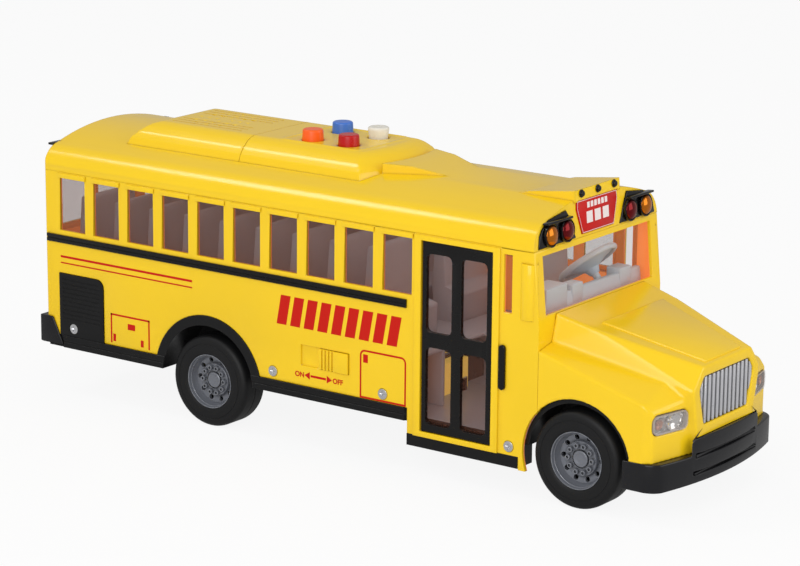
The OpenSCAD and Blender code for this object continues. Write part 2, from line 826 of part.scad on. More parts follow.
module rear_window() color([0.35, 0.3, 0.28, 0.5]) box(
    [body_x0 + wall, -rear_side_pane_y - rear_side_pane_w / 2 - pane_lap, sill_z - pane_lap],
    [body_x0 + wall + pane_t, rear_side_pane_y + rear_side_pane_w / 2 + pane_lap, head_z + 1.5]
);

// Black trim

module ribbed_rail(x0, x1, z0, z1, t) difference() {
    box([x0, -hw - t, z0], [x1, -hw, z1]);
    box([x0 - 1, -hw - t - 1, (z0 + z1) / 2 - 0.35], [x1 + 1, -hw - t / 2, (z0 + z1) / 2 + 0.35]);
}

module belt_rail() ribbed_rail(body_x0 + rear_r, door_x0 - 7.5, belt_z, belt_z + belt_h, trim_t);

module belt_rail_right() color([0.12, 0.12, 0.12]) belt_rail();

module belt_rail_left() color([0.12, 0.12, 0.12]) on_side(true)
    ribbed_rail(body_x0 + rear_r, door_x1 + surround_w, belt_z, belt_z + belt_h, trim_t);

module louvre() difference() {
    across_y(-hw - louvre_t + louvre_deep, louvre_t) louvre_outline(0);
    for (i = [0 : 9]) {
        z = rail_z1 + 8 + i * 2;
        box([louvre_x0 + 2, -hw - louvre_t, z], [louvre_x0 + louvre_w - 2, -hw - louvre_t + louvre_deep + 0.3, z + 0.8]);
    }
    bar_y(screws[0][0], screws[0][1], -far, -hw + wall, screw_head_r + clear);
}

module louvre_right() color([0.12, 0.12, 0.12]) louvre();

module louvre_left() color([0.12, 0.12, 0.12]) on_side(true) louvre();

module grab_bar() color([0.12, 0.12, 0.12]) {
    x = door_x1 + surround_w + 1.8;
    z0 = sill_z - 31;
    box([x - 1.5, -hw - 1.4, z0], [x + 1.5, -hw, z0 + 16]);
    for (z = [z0, z0 + 16]) bar_y(x, z, -hw - 1.4, -hw, 1.5);
}

// Front bumper: its bow, its corners and how far it stands out at the sides
bumper_front_r = 168;
bumper_corner_r = 8;
bumper_proud = 0.4;
bumper_blend = 2;
bumper_x0 = fender_x - 12.4;

// Plan of the front bumper, a corner reaches the bow
module bumper_plan(inset) {
    side_y = hw + bumper_proud - inset;
    corner_y = side_y - bumper_corner_r;
    reach = sqrt(pow(bumper_front_r - inset, 2) - pow(corner_y, 2));
    corner_x = bumper_x - bumper_front_r + reach - bumper_corner_r;
    intersection() {
        translate([bumper_x - bumper_front_r, 0]) circle(bumper_front_r - inset, $fn = 200);
        union() {
            translate([bumper_x0, -side_y]) square([corner_x - bumper_x0, 2 * side_y]);
            translate([bumper_x0, -corner_y - bumper_blend]) square([far, 2 * (corner_y + bumper_blend)]);
            for (s = [-1, 1]) translate([corner_x, s * corner_y]) circle(bumper_corner_r);
        }
    }
}

bumper_t = 4;
bumper_z1 = hood_z0 + 7;
frame_x1 = nose_x - 8;
frame_w = 54;
// Half widths of the bumper's raised middle
bumper_foot_w = hw - 11.4;
bumper_top_w = hw - 22.4;

module front_bumper() color([0.17, 0.17, 0.18]) difference() {
    union() {
        difference() {
            translate([0, 0, bumper_z]) linear_extrude(hood_z0 - bumper_z) bumper_plan(0);
            translate([0, 0, bumper_z - 1]) linear_extrude(far) bumper_plan(bumper_t);
            box([fender_x - 20, -hw + bumper_t, 0], [fender_x - 8, hw - bumper_t, far]);
            bar_y(front_axle_x, wheel_r, -hw + wall, hw - wall, arch_r + clear);
        }
        intersection() {
            translate([0, 0, hood_z0 - lap]) linear_extrude(bumper_z1 - hood_z0 + lap) bumper_plan(0);
            along_x(nose_x, far) polygon([
                [-bumper_foot_w, hood_z0 - lap], [bumper_foot_w, hood_z0 - lap],
                [bumper_top_w, bumper_z1], [-bumper_top_w, bumper_z1]
            ]);
        }
        both_sides() box([frame_x1, -frame_w / 2 + 4, chassis_z - 4], [nose_x - 1, -frame_w / 2 + 12, floor_z]);
    }
    box([bumper_x - 2, -24, bumper_z + 10.6], [far, 24, bumper_z + 12.2]);
    box([bumper_x - 2, -25, bumper_z + 3.6], [far, 25, bumper_z + 4.8]);
}

bumper_wrap = 10.3;

module rear_bumper() color([0.17, 0.17, 0.18]) {
    z0 = chassis_z + 1;
    z1 = rail_z1 + 8;
    difference() {
        box([body_x0 - rear_bumper_d, -hw - trim_t, z0], [body_x0 + bumper_wrap, hw + trim_t, z1]);
        translate([0, 0, z0 - 1]) linear_extrude(far) body_plan(0);
        translate([body_x0 + bumper_wrap, 0, z0]) rotate([0, -26, 0]) box([0, -far, -far], [far, far, far]);
    }
}

// Warning lamps

visor_z = 9.2;
visor_t = 1;
visor_end = 6.6;
visor_in_y = 22.4;

// Lamp box, drawn for the right with x out of the wall
module lamp_box() {
    along_x(-lamp_box_deep, lamp_box_t) mirror([1, 0]) lamp_box_outline(0);
    out = lamp_box_t - lamp_box_deep;
    box([out - lap, -hw + visor_end, visor_z], [out + visor_d, -visor_in_y, visor_z + visor_t]);
}

amber_y = hw - 10.9;
red_y = amber_y - 12;
lamp_h = 4.6;

module lens_dome(y) translate([lamp_box_t - lamp_box_deep, -y, lamp_h]) rotate([0, 90, 0]) intersection() {
    translate([0, 0, -lamp_d / 2 + visor_d]) sphere(r = lamp_d / 2);
    cylinder(r = lamp_d / 2 - 0.2, h = lamp_d);
}

module warning_box_right() color([0.1, 0.1, 0.1]) lamp_box_place(true) lamp_box();

module warning_box_left() color([0.1, 0.1, 0.1]) on_side(true) lamp_box_place(true) lamp_box();

module rear_lamp_box_right() color([0.1, 0.1, 0.1]) lamp_box_place(false) lamp_box();

module rear_lamp_box_left() color([0.1, 0.1, 0.1]) on_side(true) lamp_box_place(false) lamp_box();

module amber_lenses() color("orange") for (front = [true, false]) both_sides() lamp_box_place(front) lens_dome(amber_y);

module red_lenses() color("red") for (front = [true, false]) both_sides() lamp_box_place(front) lens_dome(red_y);

module tail_lamps() color("red") both_sides() rear_frame() for (z = [sill_z - 12, sill_z - 24])
    translate([0, -hw + 12, z - lean_z]) rotate([0, 90, 0]) cylinder(r = tail_d / 2, h = 1.8);

module sign_plate() color("crimson") front_frame() along_x(-sign_deep, sign_t) sign_outline(0);

marker_pitch = 12.6;

module marker_lamps() color([0.1, 0.1, 0.1]) front_frame()
    for (i = [-1 : 1]) translate([header_proud, i * marker_pitch, up_front(roof_z + 1.1)]) rotate([0, 90, 0]) {
        cylinder(r = 1.7, h = 0.6);
        cylinder(r = 1.2, h = 1.3);
    }

// Chassis

liner_y = hw - tyre_w - 4.4;
bearing_y1 = liner_y - 0.6;
bearing_y0 = bearing_y1 - 9;
rail_proud = 0.6;
// Half width of the floor beside the door, clear of its glazing
floor_hw = hw - wall - 0.9;
battery_l = 50.5;
battery_d = 14.5;
battery_n = 3;
battery_x = step_x0 - 38;
battery_box_l = battery_l + 2;
battery_box_w = battery_n * battery_d + 1;
battery_cover_t = 2;
hatch_screw_x = battery_x + battery_box_l / 2 + wall + 4;
gear_n = 20;
pinion_n = 10;
gear_cd = gear_m * (gear_n + pinion_n) / 2 + 0.1;
gear_r = gear_m * (gear_n / 2 + 0.85);

// Half disc over a wheel, standing on the chassis, drawn on the right
module arch_disc(x, r, y0, y1) intersection() {
    bar_y(x, wheel_r, -y1, -y0, r);
    box([-far, -far, chassis_z], [far, far, far]);
}

module chassis() color([0.13, 0.13, 0.14]) difference() {
    union() {
        box([body_x0 + rear_r, -hw, chassis_z], [step_x0 - clear, hw, floor_z]);
        box([step_x0 - lap, -floor_hw, chassis_z], [cowl_x, floor_hw, floor_z]);
        box([cowl_x - lap, -frame_w / 2, chassis_z - 4], [frame_x1, frame_w / 2, floor_z]);
        box([body_x0, -hw + rear_r, chassis_z], [body_x0 + rear_r + lap, hw - rear_r, rail_z1]);
        both_sides() {
            box([body_x0 + rear_r, -hw, chassis_z], [step_x0 - clear, -hw + wall, rail_z1]);
            ribbed_rail(body_x0 + bumper_wrap + clear, step_x0 - 0.8, chassis_z, rail_z1, rail_proud);
            arch_disc(rear_axle_x, arch_r + flare_w - run, hw - wall, hw + 0.3);
            arch_disc(rear_axle_x, arch_r + wall, liner_y - wall, hw - wall + lap);
            arch_disc(front_axle_x, arch_r - run, liner_y - wall, hw - wall - clear);
            box([step_x0, -floor_hw, step_z], [leg_x0 - clear, -hw + 11, floor_z]);
            box([step_x0, -hw, step_z], [leg_x0 - clear, -hw + 11, step_z1]);
            for (x = [rear_axle_x, front_axle_x])
                box([x - 5, -bearing_y1, wheel_r - 4.5], [x + 5, -bearing_y0, floor_z]);
            for (s = [screws[0], screws[1], screws[2]])
                box([s[0] - 3.5, -hw + wall, floor_z - lap], [s[0] + 3.5, -hw + wall + 7, s[1] + 3.5]);
        }
        box([battery_x - battery_box_l / 2 - wall, -battery_box_w / 2 - wall, floor_z - lap],
            [battery_x + battery_box_l / 2 + wall, battery_box_w / 2 + wall, floor_z + battery_d + 1]);
        translate([hatch_screw_x, 0, floor_z - lap]) cylinder(r = 3.2, h = 6);
    }
    both_sides() {
        bar_y(rear_axle_x, wheel_r, -far, -liner_y, arch_r);
        bar_y(front_axle_x, wheel_r, -far, -liner_y, arch_r - wall);
        for (s = screws) bar_y(s[0], s[1], -far, -hw + wall + screw_l, screw_r + run);
    }
    for (x = [rear_axle_x, front_axle_x]) bar_y(x, wheel_r, -far, far, axle_r + run);
    box([rear_axle_x - gear_r - 1, -6, -far], [rear_axle_x + gear_r + 1, 7, far]);
    box([battery_x - battery_box_l / 2, -battery_box_w / 2, -far], [battery_x + battery_box_l / 2, battery_box_w / 2, far]);
    translate([hatch_screw_x, 0, 0]) cylinder(r = screw_r + run, h = floor_z + 5);
}

module battery_cover() color([0.13, 0.13, 0.14]) difference() {
    union() {
        box([battery_x - battery_box_l / 2 + clear, -battery_box_w / 2 + clear, chassis_z - lap],
            [battery_x + battery_box_l / 2 - clear, battery_box_w / 2 - clear, floor_z]);
        box([battery_x - battery_box_l / 2 - 3, -battery_box_w / 2 - 3, chassis_z - battery_cover_t],
            [hatch_screw_x + 4, battery_box_w / 2 + 3, chassis_z]);
    }
    translate([hatch_screw_x, 0, 0]) cylinder(r = screw_r + run, h = far);
    translate([hatch_screw_x, 0, 0]) cylinder(r = screw_head_r + clear, h = chassis_z - battery_cover_t + screw_head_t);
}

module batteries() color("dimgray") for (i = [0 : battery_n - 1]) {
    y = (i - (battery_n - 1) / 2) * battery_d;
    translate([battery_x - battery_l / 2, y, floor_z + battery_d / 2]) rotate([0, 90, 0]) {
        cylinder(r = battery_d / 2 - 0.1, h = battery_l - 1.2);
        cylinder(r = 2.7, h = battery_l);
    }
}

module screw() {
    cylinder(r = screw_head_r, h = screw_head_t);
    cylinder(r = screw_r, h = screw_l);
}

module body_screws() color("silver") {
    both_sides() for (s = screws) translate([s[0], -hw - 0.4, s[1]]) rotate([-90, 0, 0]) screw();
    translate([hatch_screw_x, 0, chassis_z - battery_cover_t]) screw();
}

// Cabin

tray_z = wheel_r + arch_r + wall + 0.6;
tray_t = 2;
tray_hw = hw - wall - pane_t - 1.6;
tray_x0 = body_x0 + wall + 5;
tray_x1 = door_x0 - 3;
tray_leg_y = 26;
// Distance from the rear axle at which the tray's legs start, clear of the arch liners
tray_gap = arch_r + wall + 2;
driver_x = door_x1 - 14;
seat_z = tray_z + tray_t;
seat_back_h = 42;
seat_w = 33;
seat_wall = 1.6;

// Side view of one seat in (x, z), its back at x 0
module seat_outline() polygon([
    [0, -lap], [13, -lap], [14.5, 13], [6.2, 15.5], [4.4, seat_back_h - 2], [3, seat_back_h],
    [0.6, seat_back_h], [-1.6, 16]
]);

// Backs of the seats: place along the bus and the lower y of the bench
seat_places = concat(
    [for (i = [0 : window_count - 2], y = [-tray_hw + 1, tray_hw - 1 - seat_w]) [window_x0 + (i + 0.35) * window_pitch, y]],
    [[driver_x - 12, tray_hw - 1 - seat_w]]
);

module seat_tray() color([0.5, 0.49, 0.48]) difference() {
    union() {
        box([tray_x0, -tray_hw, tray_z], [tray_x1, tray_hw, seat_z]);
        box([tray_x1 - lap, 4, tray_z], [door_x1 + 6, tray_hw, seat_z]);
        for (p = seat_places) translate([p[0], 0, seat_z]) across_y(p[1], seat_w) seat_outline();
        for (s = [-1, 1], x = [[tray_x0, rear_axle_x - tray_gap], [rear_axle_x + tray_gap, tray_x1]])
            box([x[0], s * tray_leg_y - 1, floor_z], [x[1], s * tray_leg_y + 1, tray_z + lap]);
        box([tray_x1 - lap, tray_leg_y - 1, floor_z], [door_x1 + 6, tray_leg_y + 1, tray_z + lap]);
    }
    for (p = seat_places) box([p[0] + seat_wall, p[1] + seat_wall, tray_z - 1],
        [p[0] + 13 - seat_wall, p[1] + seat_w - seat_wall, seat_z + 13 - seat_wall]);
}

dash_x1 = cowl_x - wall;
dash_z0 = sill_z - 20;
dash_y = hw - wall - 4;
column_tilt = 40;
column_l = 9;
steer_r = 13;
column_y = hw * 0.36;
pad_l = 6;

// Side view in (x, z), with a sloping pad for the steering column
module dashboard() color([0.55, 0.54, 0.53]) across_y(-dash_y, 2 * dash_y) polygon([
    [dash_x1 - 10, dash_z0], [dash_x1, dash_z0], [dash_x1, lean_z - 1.5], [dash_x1 - 3.4, lean_z - 1.5],
    [dash_x1 - 4.6, sill_z - 1 + pad_l * tan(column_tilt)], [dash_x1 - 13 + pad_l, sill_z - 1 + pad_l * tan(column_tilt)],
    [dash_x1 - 13, sill_z - 1], [dash_x1 - 13, sill_z - 8]
]);

module steering_wheel() color([0.5, 0.49, 0.48])
    translate([dash_x1 - 13 + pad_l / 2, column_y, sill_z - 1 + pad_l / 2 * tan(column_tilt)]) rotate([0, -column_tilt, 0]) {
        cylinder(r = 1.6, h = column_l);
        translate([0, 0, column_l]) rotate_extrude() translate([steer_r, 0]) circle(1.3, $fn = 24);
        for (a = [0, 120, 240]) rotate([0, 0, a]) translate([0, -1, column_l - 0.8]) cube([steer_r, 2, 1.6]);
    }

// Wheels

wheel_y1 = hw - 0.5;
wheel_y0 = wheel_y1 - tyre_w;
hub_y = liner_y + 0.4;
axle_end = wheel_y1 - 4.5;

// A wheel piece drawn upright, with its outer face up
module wheel_place(x, left) on_side(left) translate([x, 0, wheel_r]) rotate([90, 0, 0]) children();

module tyre() rotate_extrude($fn = 96) {
    e = 2.2;
    translate([rim_r, wheel_y0]) square([wheel_r - rim_r - e, tyre_w]);
    translate([wheel_r - e - lap, wheel_y0 + e]) square([e + lap, tyre_w - 2 * e]);
    for (y = [wheel_y0 + e, wheel_y1 - e]) translate([wheel_r - e, y]) circle(e);
}

rim_wall = 1.2;
dish_y = wheel_y1 - 6.2;
vent_n = 10;
nut_n = 10;

module rim() {
    difference() {
        rotate_extrude($fn = 96) polygon([
            [axle_r, hub_y], [4.5, hub_y], [4.5, dish_y - 1.5], [rim_r - rim_wall, dish_y - 1.5],
            [rim_r - rim_wall, wheel_y0 + 1], [rim_r, wheel_y0 + 1], [rim_r, wheel_y1 - 0.3],
            [rim_r - rim_wall, wheel_y1 - 0.3], [rim_r - rim_wall - 1, dish_y + 1.6], [rim_r * 0.62, dish_y + 0.6],
            [rim_r * 0.6, dish_y + 2.6], [4.4, dish_y + 2.9], [4.1, wheel_y1 - 1.6], [2, wheel_y1 - 0.9],
            [0, wheel_y1 - 0.9], [0, axle_end], [axle_r, axle_end]
        ]);
        for (i = [0 : vent_n - 1]) rotate([0, 0, 360 / vent_n * (i + 0.5)])
            translate([rim_r * 0.74, 0, dish_y - 4]) cylinder(r = 1, h = 8, $fn = 24);
    }
    for (i = [0 : nut_n - 1]) rotate([0, 0, 360 / nut_n * i])
        translate([rim_r * 0.49, 0, dish_y + 2]) cylinder(r = 0.75, h = 2, $fn = 24);
}

module tyre_front_right() color([0.15, 0.15, 0.15]) wheel_place(front_axle_x, false) tyre();

module tyre_front_left() color([0.15, 0.15, 0.15]) wheel_place(front_axle_x, true) tyre();

module tyre_rear_right() color([0.15, 0.15, 0.15]) wheel_place(rear_axle_x, false) tyre();

module tyre_rear_left() color([0.15, 0.15, 0.15]) wheel_place(rear_axle_x, true) tyre();

module rim_front_right() color("gray") wheel_place(front_axle_x, false) rim();

module rim_front_left() color("gray") wheel_place(front_axle_x, true) rim();

module rim_rear_right() color("gray") wheel_place(rear_axle_x, false) rim();

module rim_rear_left() color("gray") wheel_place(rear_axle_x, true) rim();

module front_axle() color("silver") bar_y(front_axle_x, wheel_r, -axle_end, axle_end, axle_r);

module rear_axle() color("silver") bar_y(rear_axle_x, wheel_r, -axle_end, axle_end, axle_r);

// Flywheel drive on the rear axle

gear_y0 = -4.5;
gear_y1 = -0.5;
fly_y0 = 1;
fly_y1 = 6;
fly_r = gear_cd - axle_r - 1.4;
fly_shaft_r = 1.2;
case_w = 8;
case_t = 1.5;

function tooth(n, i, root, tip) = [
    for (p = [[root, -0.3], [tip, -0.13], [tip, 0.13], [root, 0.3]])
        [p[0] * cos(360 / n * (i + p[1])), p[0] * sin(360 / n * (i + p[1]))]
];

module gear_outline(n) {
    r = gear_m * n / 2;
    polygon([for (i = [0 : n - 1]) each tooth(n, i, r - 1.1 * gear_m, r + 0.85 * gear_m)]);
}

module axle_gear() color("white") difference() {
    translate([rear_axle_x, 0, wheel_r]) across_y(gear_y0, gear_y1 - gear_y0) gear_outline(gear_n);
    bar_y(rear_axle_x, wheel_r, -far, far, axle_r);
}

module flywheel() color("darkgray") {
    z = wheel_r + gear_cd;
    translate([rear_axle_x, 0, z]) across_y(gear_y0, fly_y0 + lap - gear_y0) gear_outline(pinion_n);
    bar_y(rear_axle_x, z, fly_y0, fly_y1, fly_r);
    bar_y(rear_axle_x, z, -case_w - case_t, case_w + case_t, fly_shaft_r);
}

module gearbox() color("ivory") difference() {
    w = gear_r + 3;
    z1 = wheel_r + gear_cd + fly_r + 1.2;
    box([rear_axle_x - w - case_t, -case_w - case_t, floor_z], [rear_axle_x + w + case_t, case_w + case_t, z1 + case_t]);
    box([rear_axle_x - w, -case_w, 0], [rear_axle_x + w, case_w, z1]);
    bar_y(rear_axle_x, wheel_r + gear_cd, -far, far, fly_shaft_r + run);
}

body_shell();
hood();
roof_shell();
chassis();
speaker_cover();
button_cover();
button_orange();
button_blue();
button_red();
button_white();
button_pad();
circuit_board();
speaker();
power_slider();
slide_switch();
door_frame();
door_glazing();
side_glazing_right();
side_glazing_left();
windscreen();
rear_window();
belt_rail_right();
belt_rail_left();
front_bumper();
rear_bumper();
louvre_right();
louvre_left();
grab_bar();
radiator_grille();
headlight_lens_right();
headlight_lens_left();
headlight_reflectors();
warning_box_right();
warning_box_left();
rear_lamp_box_right();
rear_lamp_box_left();
amber_lenses();
red_lenses();
tail_lamps();
sign_plate();
marker_lamps();
seat_tray();
dashboard();
steering_wheel();
front_axle();
rear_axle();
tyre_front_right();
tyre_front_left();
tyre_rear_right();
tyre_rear_left();
rim_front_right();
rim_front_left();
rim_rear_right();
rim_rear_left();
axle_gear();
flywheel();
gearbox();
battery_cover();
batteries();
body_screws();
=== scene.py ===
import math

import bpy
from mathutils import Matrix, Vector


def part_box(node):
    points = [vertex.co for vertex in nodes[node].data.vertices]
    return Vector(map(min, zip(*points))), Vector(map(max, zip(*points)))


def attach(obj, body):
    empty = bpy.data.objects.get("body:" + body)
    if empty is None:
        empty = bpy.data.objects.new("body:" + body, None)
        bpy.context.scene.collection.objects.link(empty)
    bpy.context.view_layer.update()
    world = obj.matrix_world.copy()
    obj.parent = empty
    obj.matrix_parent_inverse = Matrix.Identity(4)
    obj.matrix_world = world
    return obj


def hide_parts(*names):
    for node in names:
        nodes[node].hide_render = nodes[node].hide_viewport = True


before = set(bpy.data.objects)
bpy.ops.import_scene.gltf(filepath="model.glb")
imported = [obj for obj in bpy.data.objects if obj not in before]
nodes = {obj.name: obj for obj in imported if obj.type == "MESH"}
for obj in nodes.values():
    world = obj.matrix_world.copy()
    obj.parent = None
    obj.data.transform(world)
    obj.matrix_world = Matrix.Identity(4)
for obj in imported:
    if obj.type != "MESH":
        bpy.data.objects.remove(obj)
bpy.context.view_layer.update()        # CAD nodes
mm = 0.001
print("frame loaded,", len(nodes), "nodes")


# modelling helpers, with lengths in mm and angles in degrees

meshSet = {"weld": 0.002, "tip": 0.0005, "flat": 0.2, "sharp": 32}


def only(*objs):
    if bpy.context.mode != "OBJECT":
        bpy.ops.object.mode_set(mode="OBJECT")
    bpy.ops.object.select_all(action="DESELECT")
    for obj in objs:
        obj.select_set(True)
    bpy.context.view_layer.objects.active = objs[0]
    return objs[0]


def edit(obj, kind, action="SELECT"):
    only(obj)
    bpy.ops.object.mode_set(mode="EDIT")
    bpy.ops.mesh.select_mode(type=kind)
    bpy.ops.mesh.select_all(action=action)


def done():
    bpy.ops.object.mode_set(mode="OBJECT")


def pickPoints(obj, test):
    edit(obj, "VERT", "DESELECT")
    done()
    for point in obj.data.vertices:
        point.select = test(point.co / mm)
    bpy.ops.object.mode_set(mode="EDIT")


def pickFaces(obj, test):
    edit(obj, "FACE", "DESELECT")
    done()
    for face in obj.data.polygons:
        face.select = test(face.center / mm, face.normal)
    bpy.ops.object.mode_set(mode="EDIT")


def pickEdges(obj, test):
    edit(obj, "EDGE", "DESELECT")
    done()
    points = obj.data.vertices
    for edge in obj.data.edges:
        edge.select = test(points[edge.vertices[0]].co / mm, points[edge.vertices[1]].co / mm)
    bpy.ops.object.mode_set(mode="EDIT")


def settle(obj, name):        # puts an object's place into its mesh
    only(obj)
    bpy.ops.object.transform_apply(location=True, rotation=True, scale=True)
    obj.name = name
    obj.data.name = name
    return obj


def block(name, low, high):        # a box between two corners
    low, high = Vector(low), Vector(high)
    bpy.ops.mesh.primitive_cube_add(size=1, location=(low + high) / 2 * mm)
    obj = bpy.context.object
    obj.scale = (high - low) * mm
    return settle(obj, name)


def plate(name, low, high):        # a flat face in the XZ plane between two corners
    low, high = Vector(low), Vector(high)
    bpy.ops.mesh.primitive_plane_add(size=1, location=(low + high) / 2 * mm, rotation=(math.pi / 2, 0, 0))
    obj = bpy.context.object
    size = (high - low) * mm
    obj.scale = (size.x, size.z, 1)
    return settle(obj, name)


# rings of (radius, height) drawn out one after another
def turned(name, profile, count=64, closed=False):
    radius, height = profile[0]
    bpy.ops.mesh.primitive_circle_add(vertices=count, radius=radius * mm, location=(0, 0, height * mm))
    obj = settle(bpy.context.object, name)
    edit(obj, "EDGE")
    for (r0, h0), (r1, h1) in zip(profile, profile[1:]):
        bpy.ops.mesh.extrude_region()
        if h1 != h0:
            bpy.ops.transform.translate(value=(0, 0, (h1 - h0) * mm))
        if r1 != r0:
            ratio = max(r1, meshSet["tip"]) / r0
            bpy.ops.transform.resize(value=(ratio, ratio, 1), center_override=(0, 0, h1 * mm))
    bpy.ops.mesh.select_all(action="SELECT")
    bpy.ops.mesh.remove_doubles(threshold=meshSet["weld"] * mm)
    if not closed:
        bpy.ops.mesh.select_all(action="DESELECT")
        bpy.ops.mesh.select_non_manifold()
        bpy.ops.mesh.fill_holes(sides=0)
    bpy.ops.mesh.select_all(action="SELECT")
    bpy.ops.mesh.normals_make_consistent(inside=False)
    done()
    return obj


def arc(centre, radius, start, end, steps):        # points of a profile along an arc
    angles = [math.radians(start + (end - start) * i / steps) for i in range(steps + 1)]
    return [(centre[0] + radius * math.cos(a), centre[1] + radius * math.sin(a)) for a in angles]


def place(obj, at=(0, 0, 0), turn=(0, 0, 0)):        # turns, then moves
    obj.rotation_euler = [math.radians(a) for a in turn]
    obj.location = Vector(at) * mm
    return settle(obj, obj.name)


def twin(obj, name, matrix=None):        # a copy with its own mesh
    copy = bpy.data.objects.new(name, obj.data.copy())
    bpy.context.scene.collection.objects.link(copy)
    if matrix is not None:
        copy.data.transform(matrix)
        if matrix.determinant() < 0:
            copy.data.flip_normals()
    return copy


def joined(name, pieces):
    only(*pieces)
    if len(pieces) > 1:
        bpy.ops.object.join()
    pieces[0].name = name
    pieces[0].data.name = name
    return pieces[0]


# cuts with another closed shape, whose parts may cross, and removes it
def cut(obj, tool, crossed=False):
    only(obj)
    change = obj.modifiers.new("cut", "BOOLEAN")
    change.operation = "DIFFERENCE"
    change.solver = "EXACT"
    change.use_self = crossed
    change.object = tool
    bpy.ops.object.modifier_apply(modifier=change.name)
    bpy.data.objects.remove(tool)
    return obj


def smooth(obj, angle=30):
    only(obj)
    bpy.ops.object.shade_smooth_by_angle(angle=math.radians(angle))
    return obj


def cast(node, name):        # a merged copy of a CAD node, to be worked on
    obj = twin(nodes[node], name)
    only(obj)
    bpy.ops.mesh.customdata_custom_splitnormals_clear()
    edit(obj, "VERT")
    bpy.ops.mesh.remove_doubles(threshold=meshSet["weld"] * mm)
    bpy.ops.mesh.dissolve_limited(angle_limit=math.radians(meshSet["flat"]))
    bpy.ops.mesh.vert_connect_concave()
    done()
    return obj


def innerCorners(obj):        # edges where two faces meet in a hollow
    pairs = {}
    for face in obj.data.polygons:
        for key in face.edge_keys:
            pairs.setdefault(key, []).append(face)
    return {key for key, pair in pairs.items()
            if len(pair) == 2 and (pair[1].center - pair[0].center).dot(pair[0].normal) > 0}


# rounds the sharp outer edges that pass the test
def roundEdges(obj, width, segments=2, shortest=0.5, test=None):
    edit(obj, "EDGE", "DESELECT")
    bpy.ops.mesh.edges_select_sharp(sharpness=math.radians(meshSet["sharp"]))
    done()
    points = obj.data.vertices
    inner = innerCorners(obj)
    for edge in obj.data.edges:
        if edge.select:
            a, b = points[edge.vertices[0]].co / mm, points[edge.vertices[1]].co / mm
            allowed = test is None or test(a, b)
            edge.select = allowed and edge.key not in inner and (a - b).length >= shortest
    bpy.ops.object.mode_set(mode="EDIT")
    bpy.ops.mesh.bevel(offset=width * mm, segments=segments, profile=0.5, affect="EDGES",
                       clamp_overlap=False)
    done()
    return smooth(obj, meshSet["sharp"])


def softened(node, width, segments=2, shortest=0.5, test=None):
    return roundEdges(cast(node, node + "_soft"), width, segments, shortest, test)


# a copy whose edges flow into each other where the test allows, as in a soft moulding
def melted(node, voxel, repeat, test):
    obj = only(cast(node, node + "_soft"))
    obj.data.remesh_voxel_size = voxel * mm
    bpy.ops.object.voxel_remesh()
    pickPoints(obj, test)
    bpy.ops.mesh.vertices_smooth(factor=0.5, repeat=repeat)
    done()
    low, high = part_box(node)
    for point in obj.data.vertices:
        point.co = [min(max(c, a), b) for c, a, b in zip(point.co, low, high)]
    bpy.ops.object.shade_smooth()
    return obj


def dress(obj, body, slot, material, *stoodFor):        # finish and body of a new piece
    obj.data.materials.clear()
    obj.data.materials.append(material)
    for face in obj.data.polygons:
        face.material_index = 0
    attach(obj, body)
    if stoodFor:
        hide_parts(*stoodFor)
    return obj


def paint(material, *names):        # finish of CAD nodes that stay as they are
    for name in names:
        nodes[name].material_slots[0].material = material


def corners(node):
    low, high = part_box(node)
    return low / mm, high / mm


# places read from the frame

halfWidth = corners("belt_rail_left")[0].y
rearX = corners("chassis")[0].x
cowlX, noseX = corners("hood")[0].x, corners("hood")[1].x


# effects shared by the materials

def feed(tree, socket, value):        # a link or a fixed value
    if isinstance(value, bpy.types.NodeSocket):
        tree.links.new(value, socket)
    elif value is not None:
        socket.default_value = value


def newGroup(name, inputs, outputs):
    group = bpy.data.node_groups.new(name, "ShaderNodeTree")
    for label, kind, value in inputs:
        socket = group.interface.new_socket(name=label, in_out="INPUT", socket_type=kind)
        socket.default_value = value
    for label, kind in outputs:
        group.interface.new_socket(name=label, in_out="OUTPUT", socket_type=kind)
    source = group.nodes.new("NodeGroupInput")
    sink = group.nodes.new("NodeGroupOutput")
    return group, source.outputs, sink.inputs


def groupNode(tree, group, **values):
    node = tree.nodes.new("ShaderNodeGroup")
    node.node_tree = group
    for label, value in values.items():
        feed(tree, node.inputs[label], value)
    return node.outputs


def mathNode(tree, operation, a, b=None, clamp=False):
    node = tree.nodes.new("ShaderNodeMath")
    node.operation = operation
    node.use_clamp = clamp
    feed(tree, node.inputs[0], a)
    feed(tree, node.inputs[1], b)
    return node.outputs[0]


def mixColor(tree, factor, a, b):
    node = tree.nodes.new("ShaderNodeMix")
    node.data_type = "RGBA"
    for i, value in zip((0, 6, 7), (factor, a, b)):
        feed(tree, node.inputs[i], value)
    return node.outputs[2]


def rangeNode(tree, value, low, high):        # nought at low and one at high
    node = tree.nodes.new("ShaderNodeMapRange")
    for i, number in enumerate((value, low, high)):
        feed(tree, node.inputs[i], number)
    return node.outputs[0]


def noiseNode(tree, vector, scale, detail, rough=0.5):
    node = tree.nodes.new("ShaderNodeTexNoise")
    for label, value in (("Vector", vector), ("Scale", scale), ("Detail", detail), ("Roughness", rough)):
        feed(tree, node.inputs[label], value)
    return node.outputs["Fac"]


def splitNode(tree, kind, output):        # the three parts of a place or of a normal
    split = tree.nodes.new("ShaderNodeSeparateXYZ")
    tree.links.new(tree.nodes.new(kind).outputs[output], split.inputs[0])
    return split.outputs


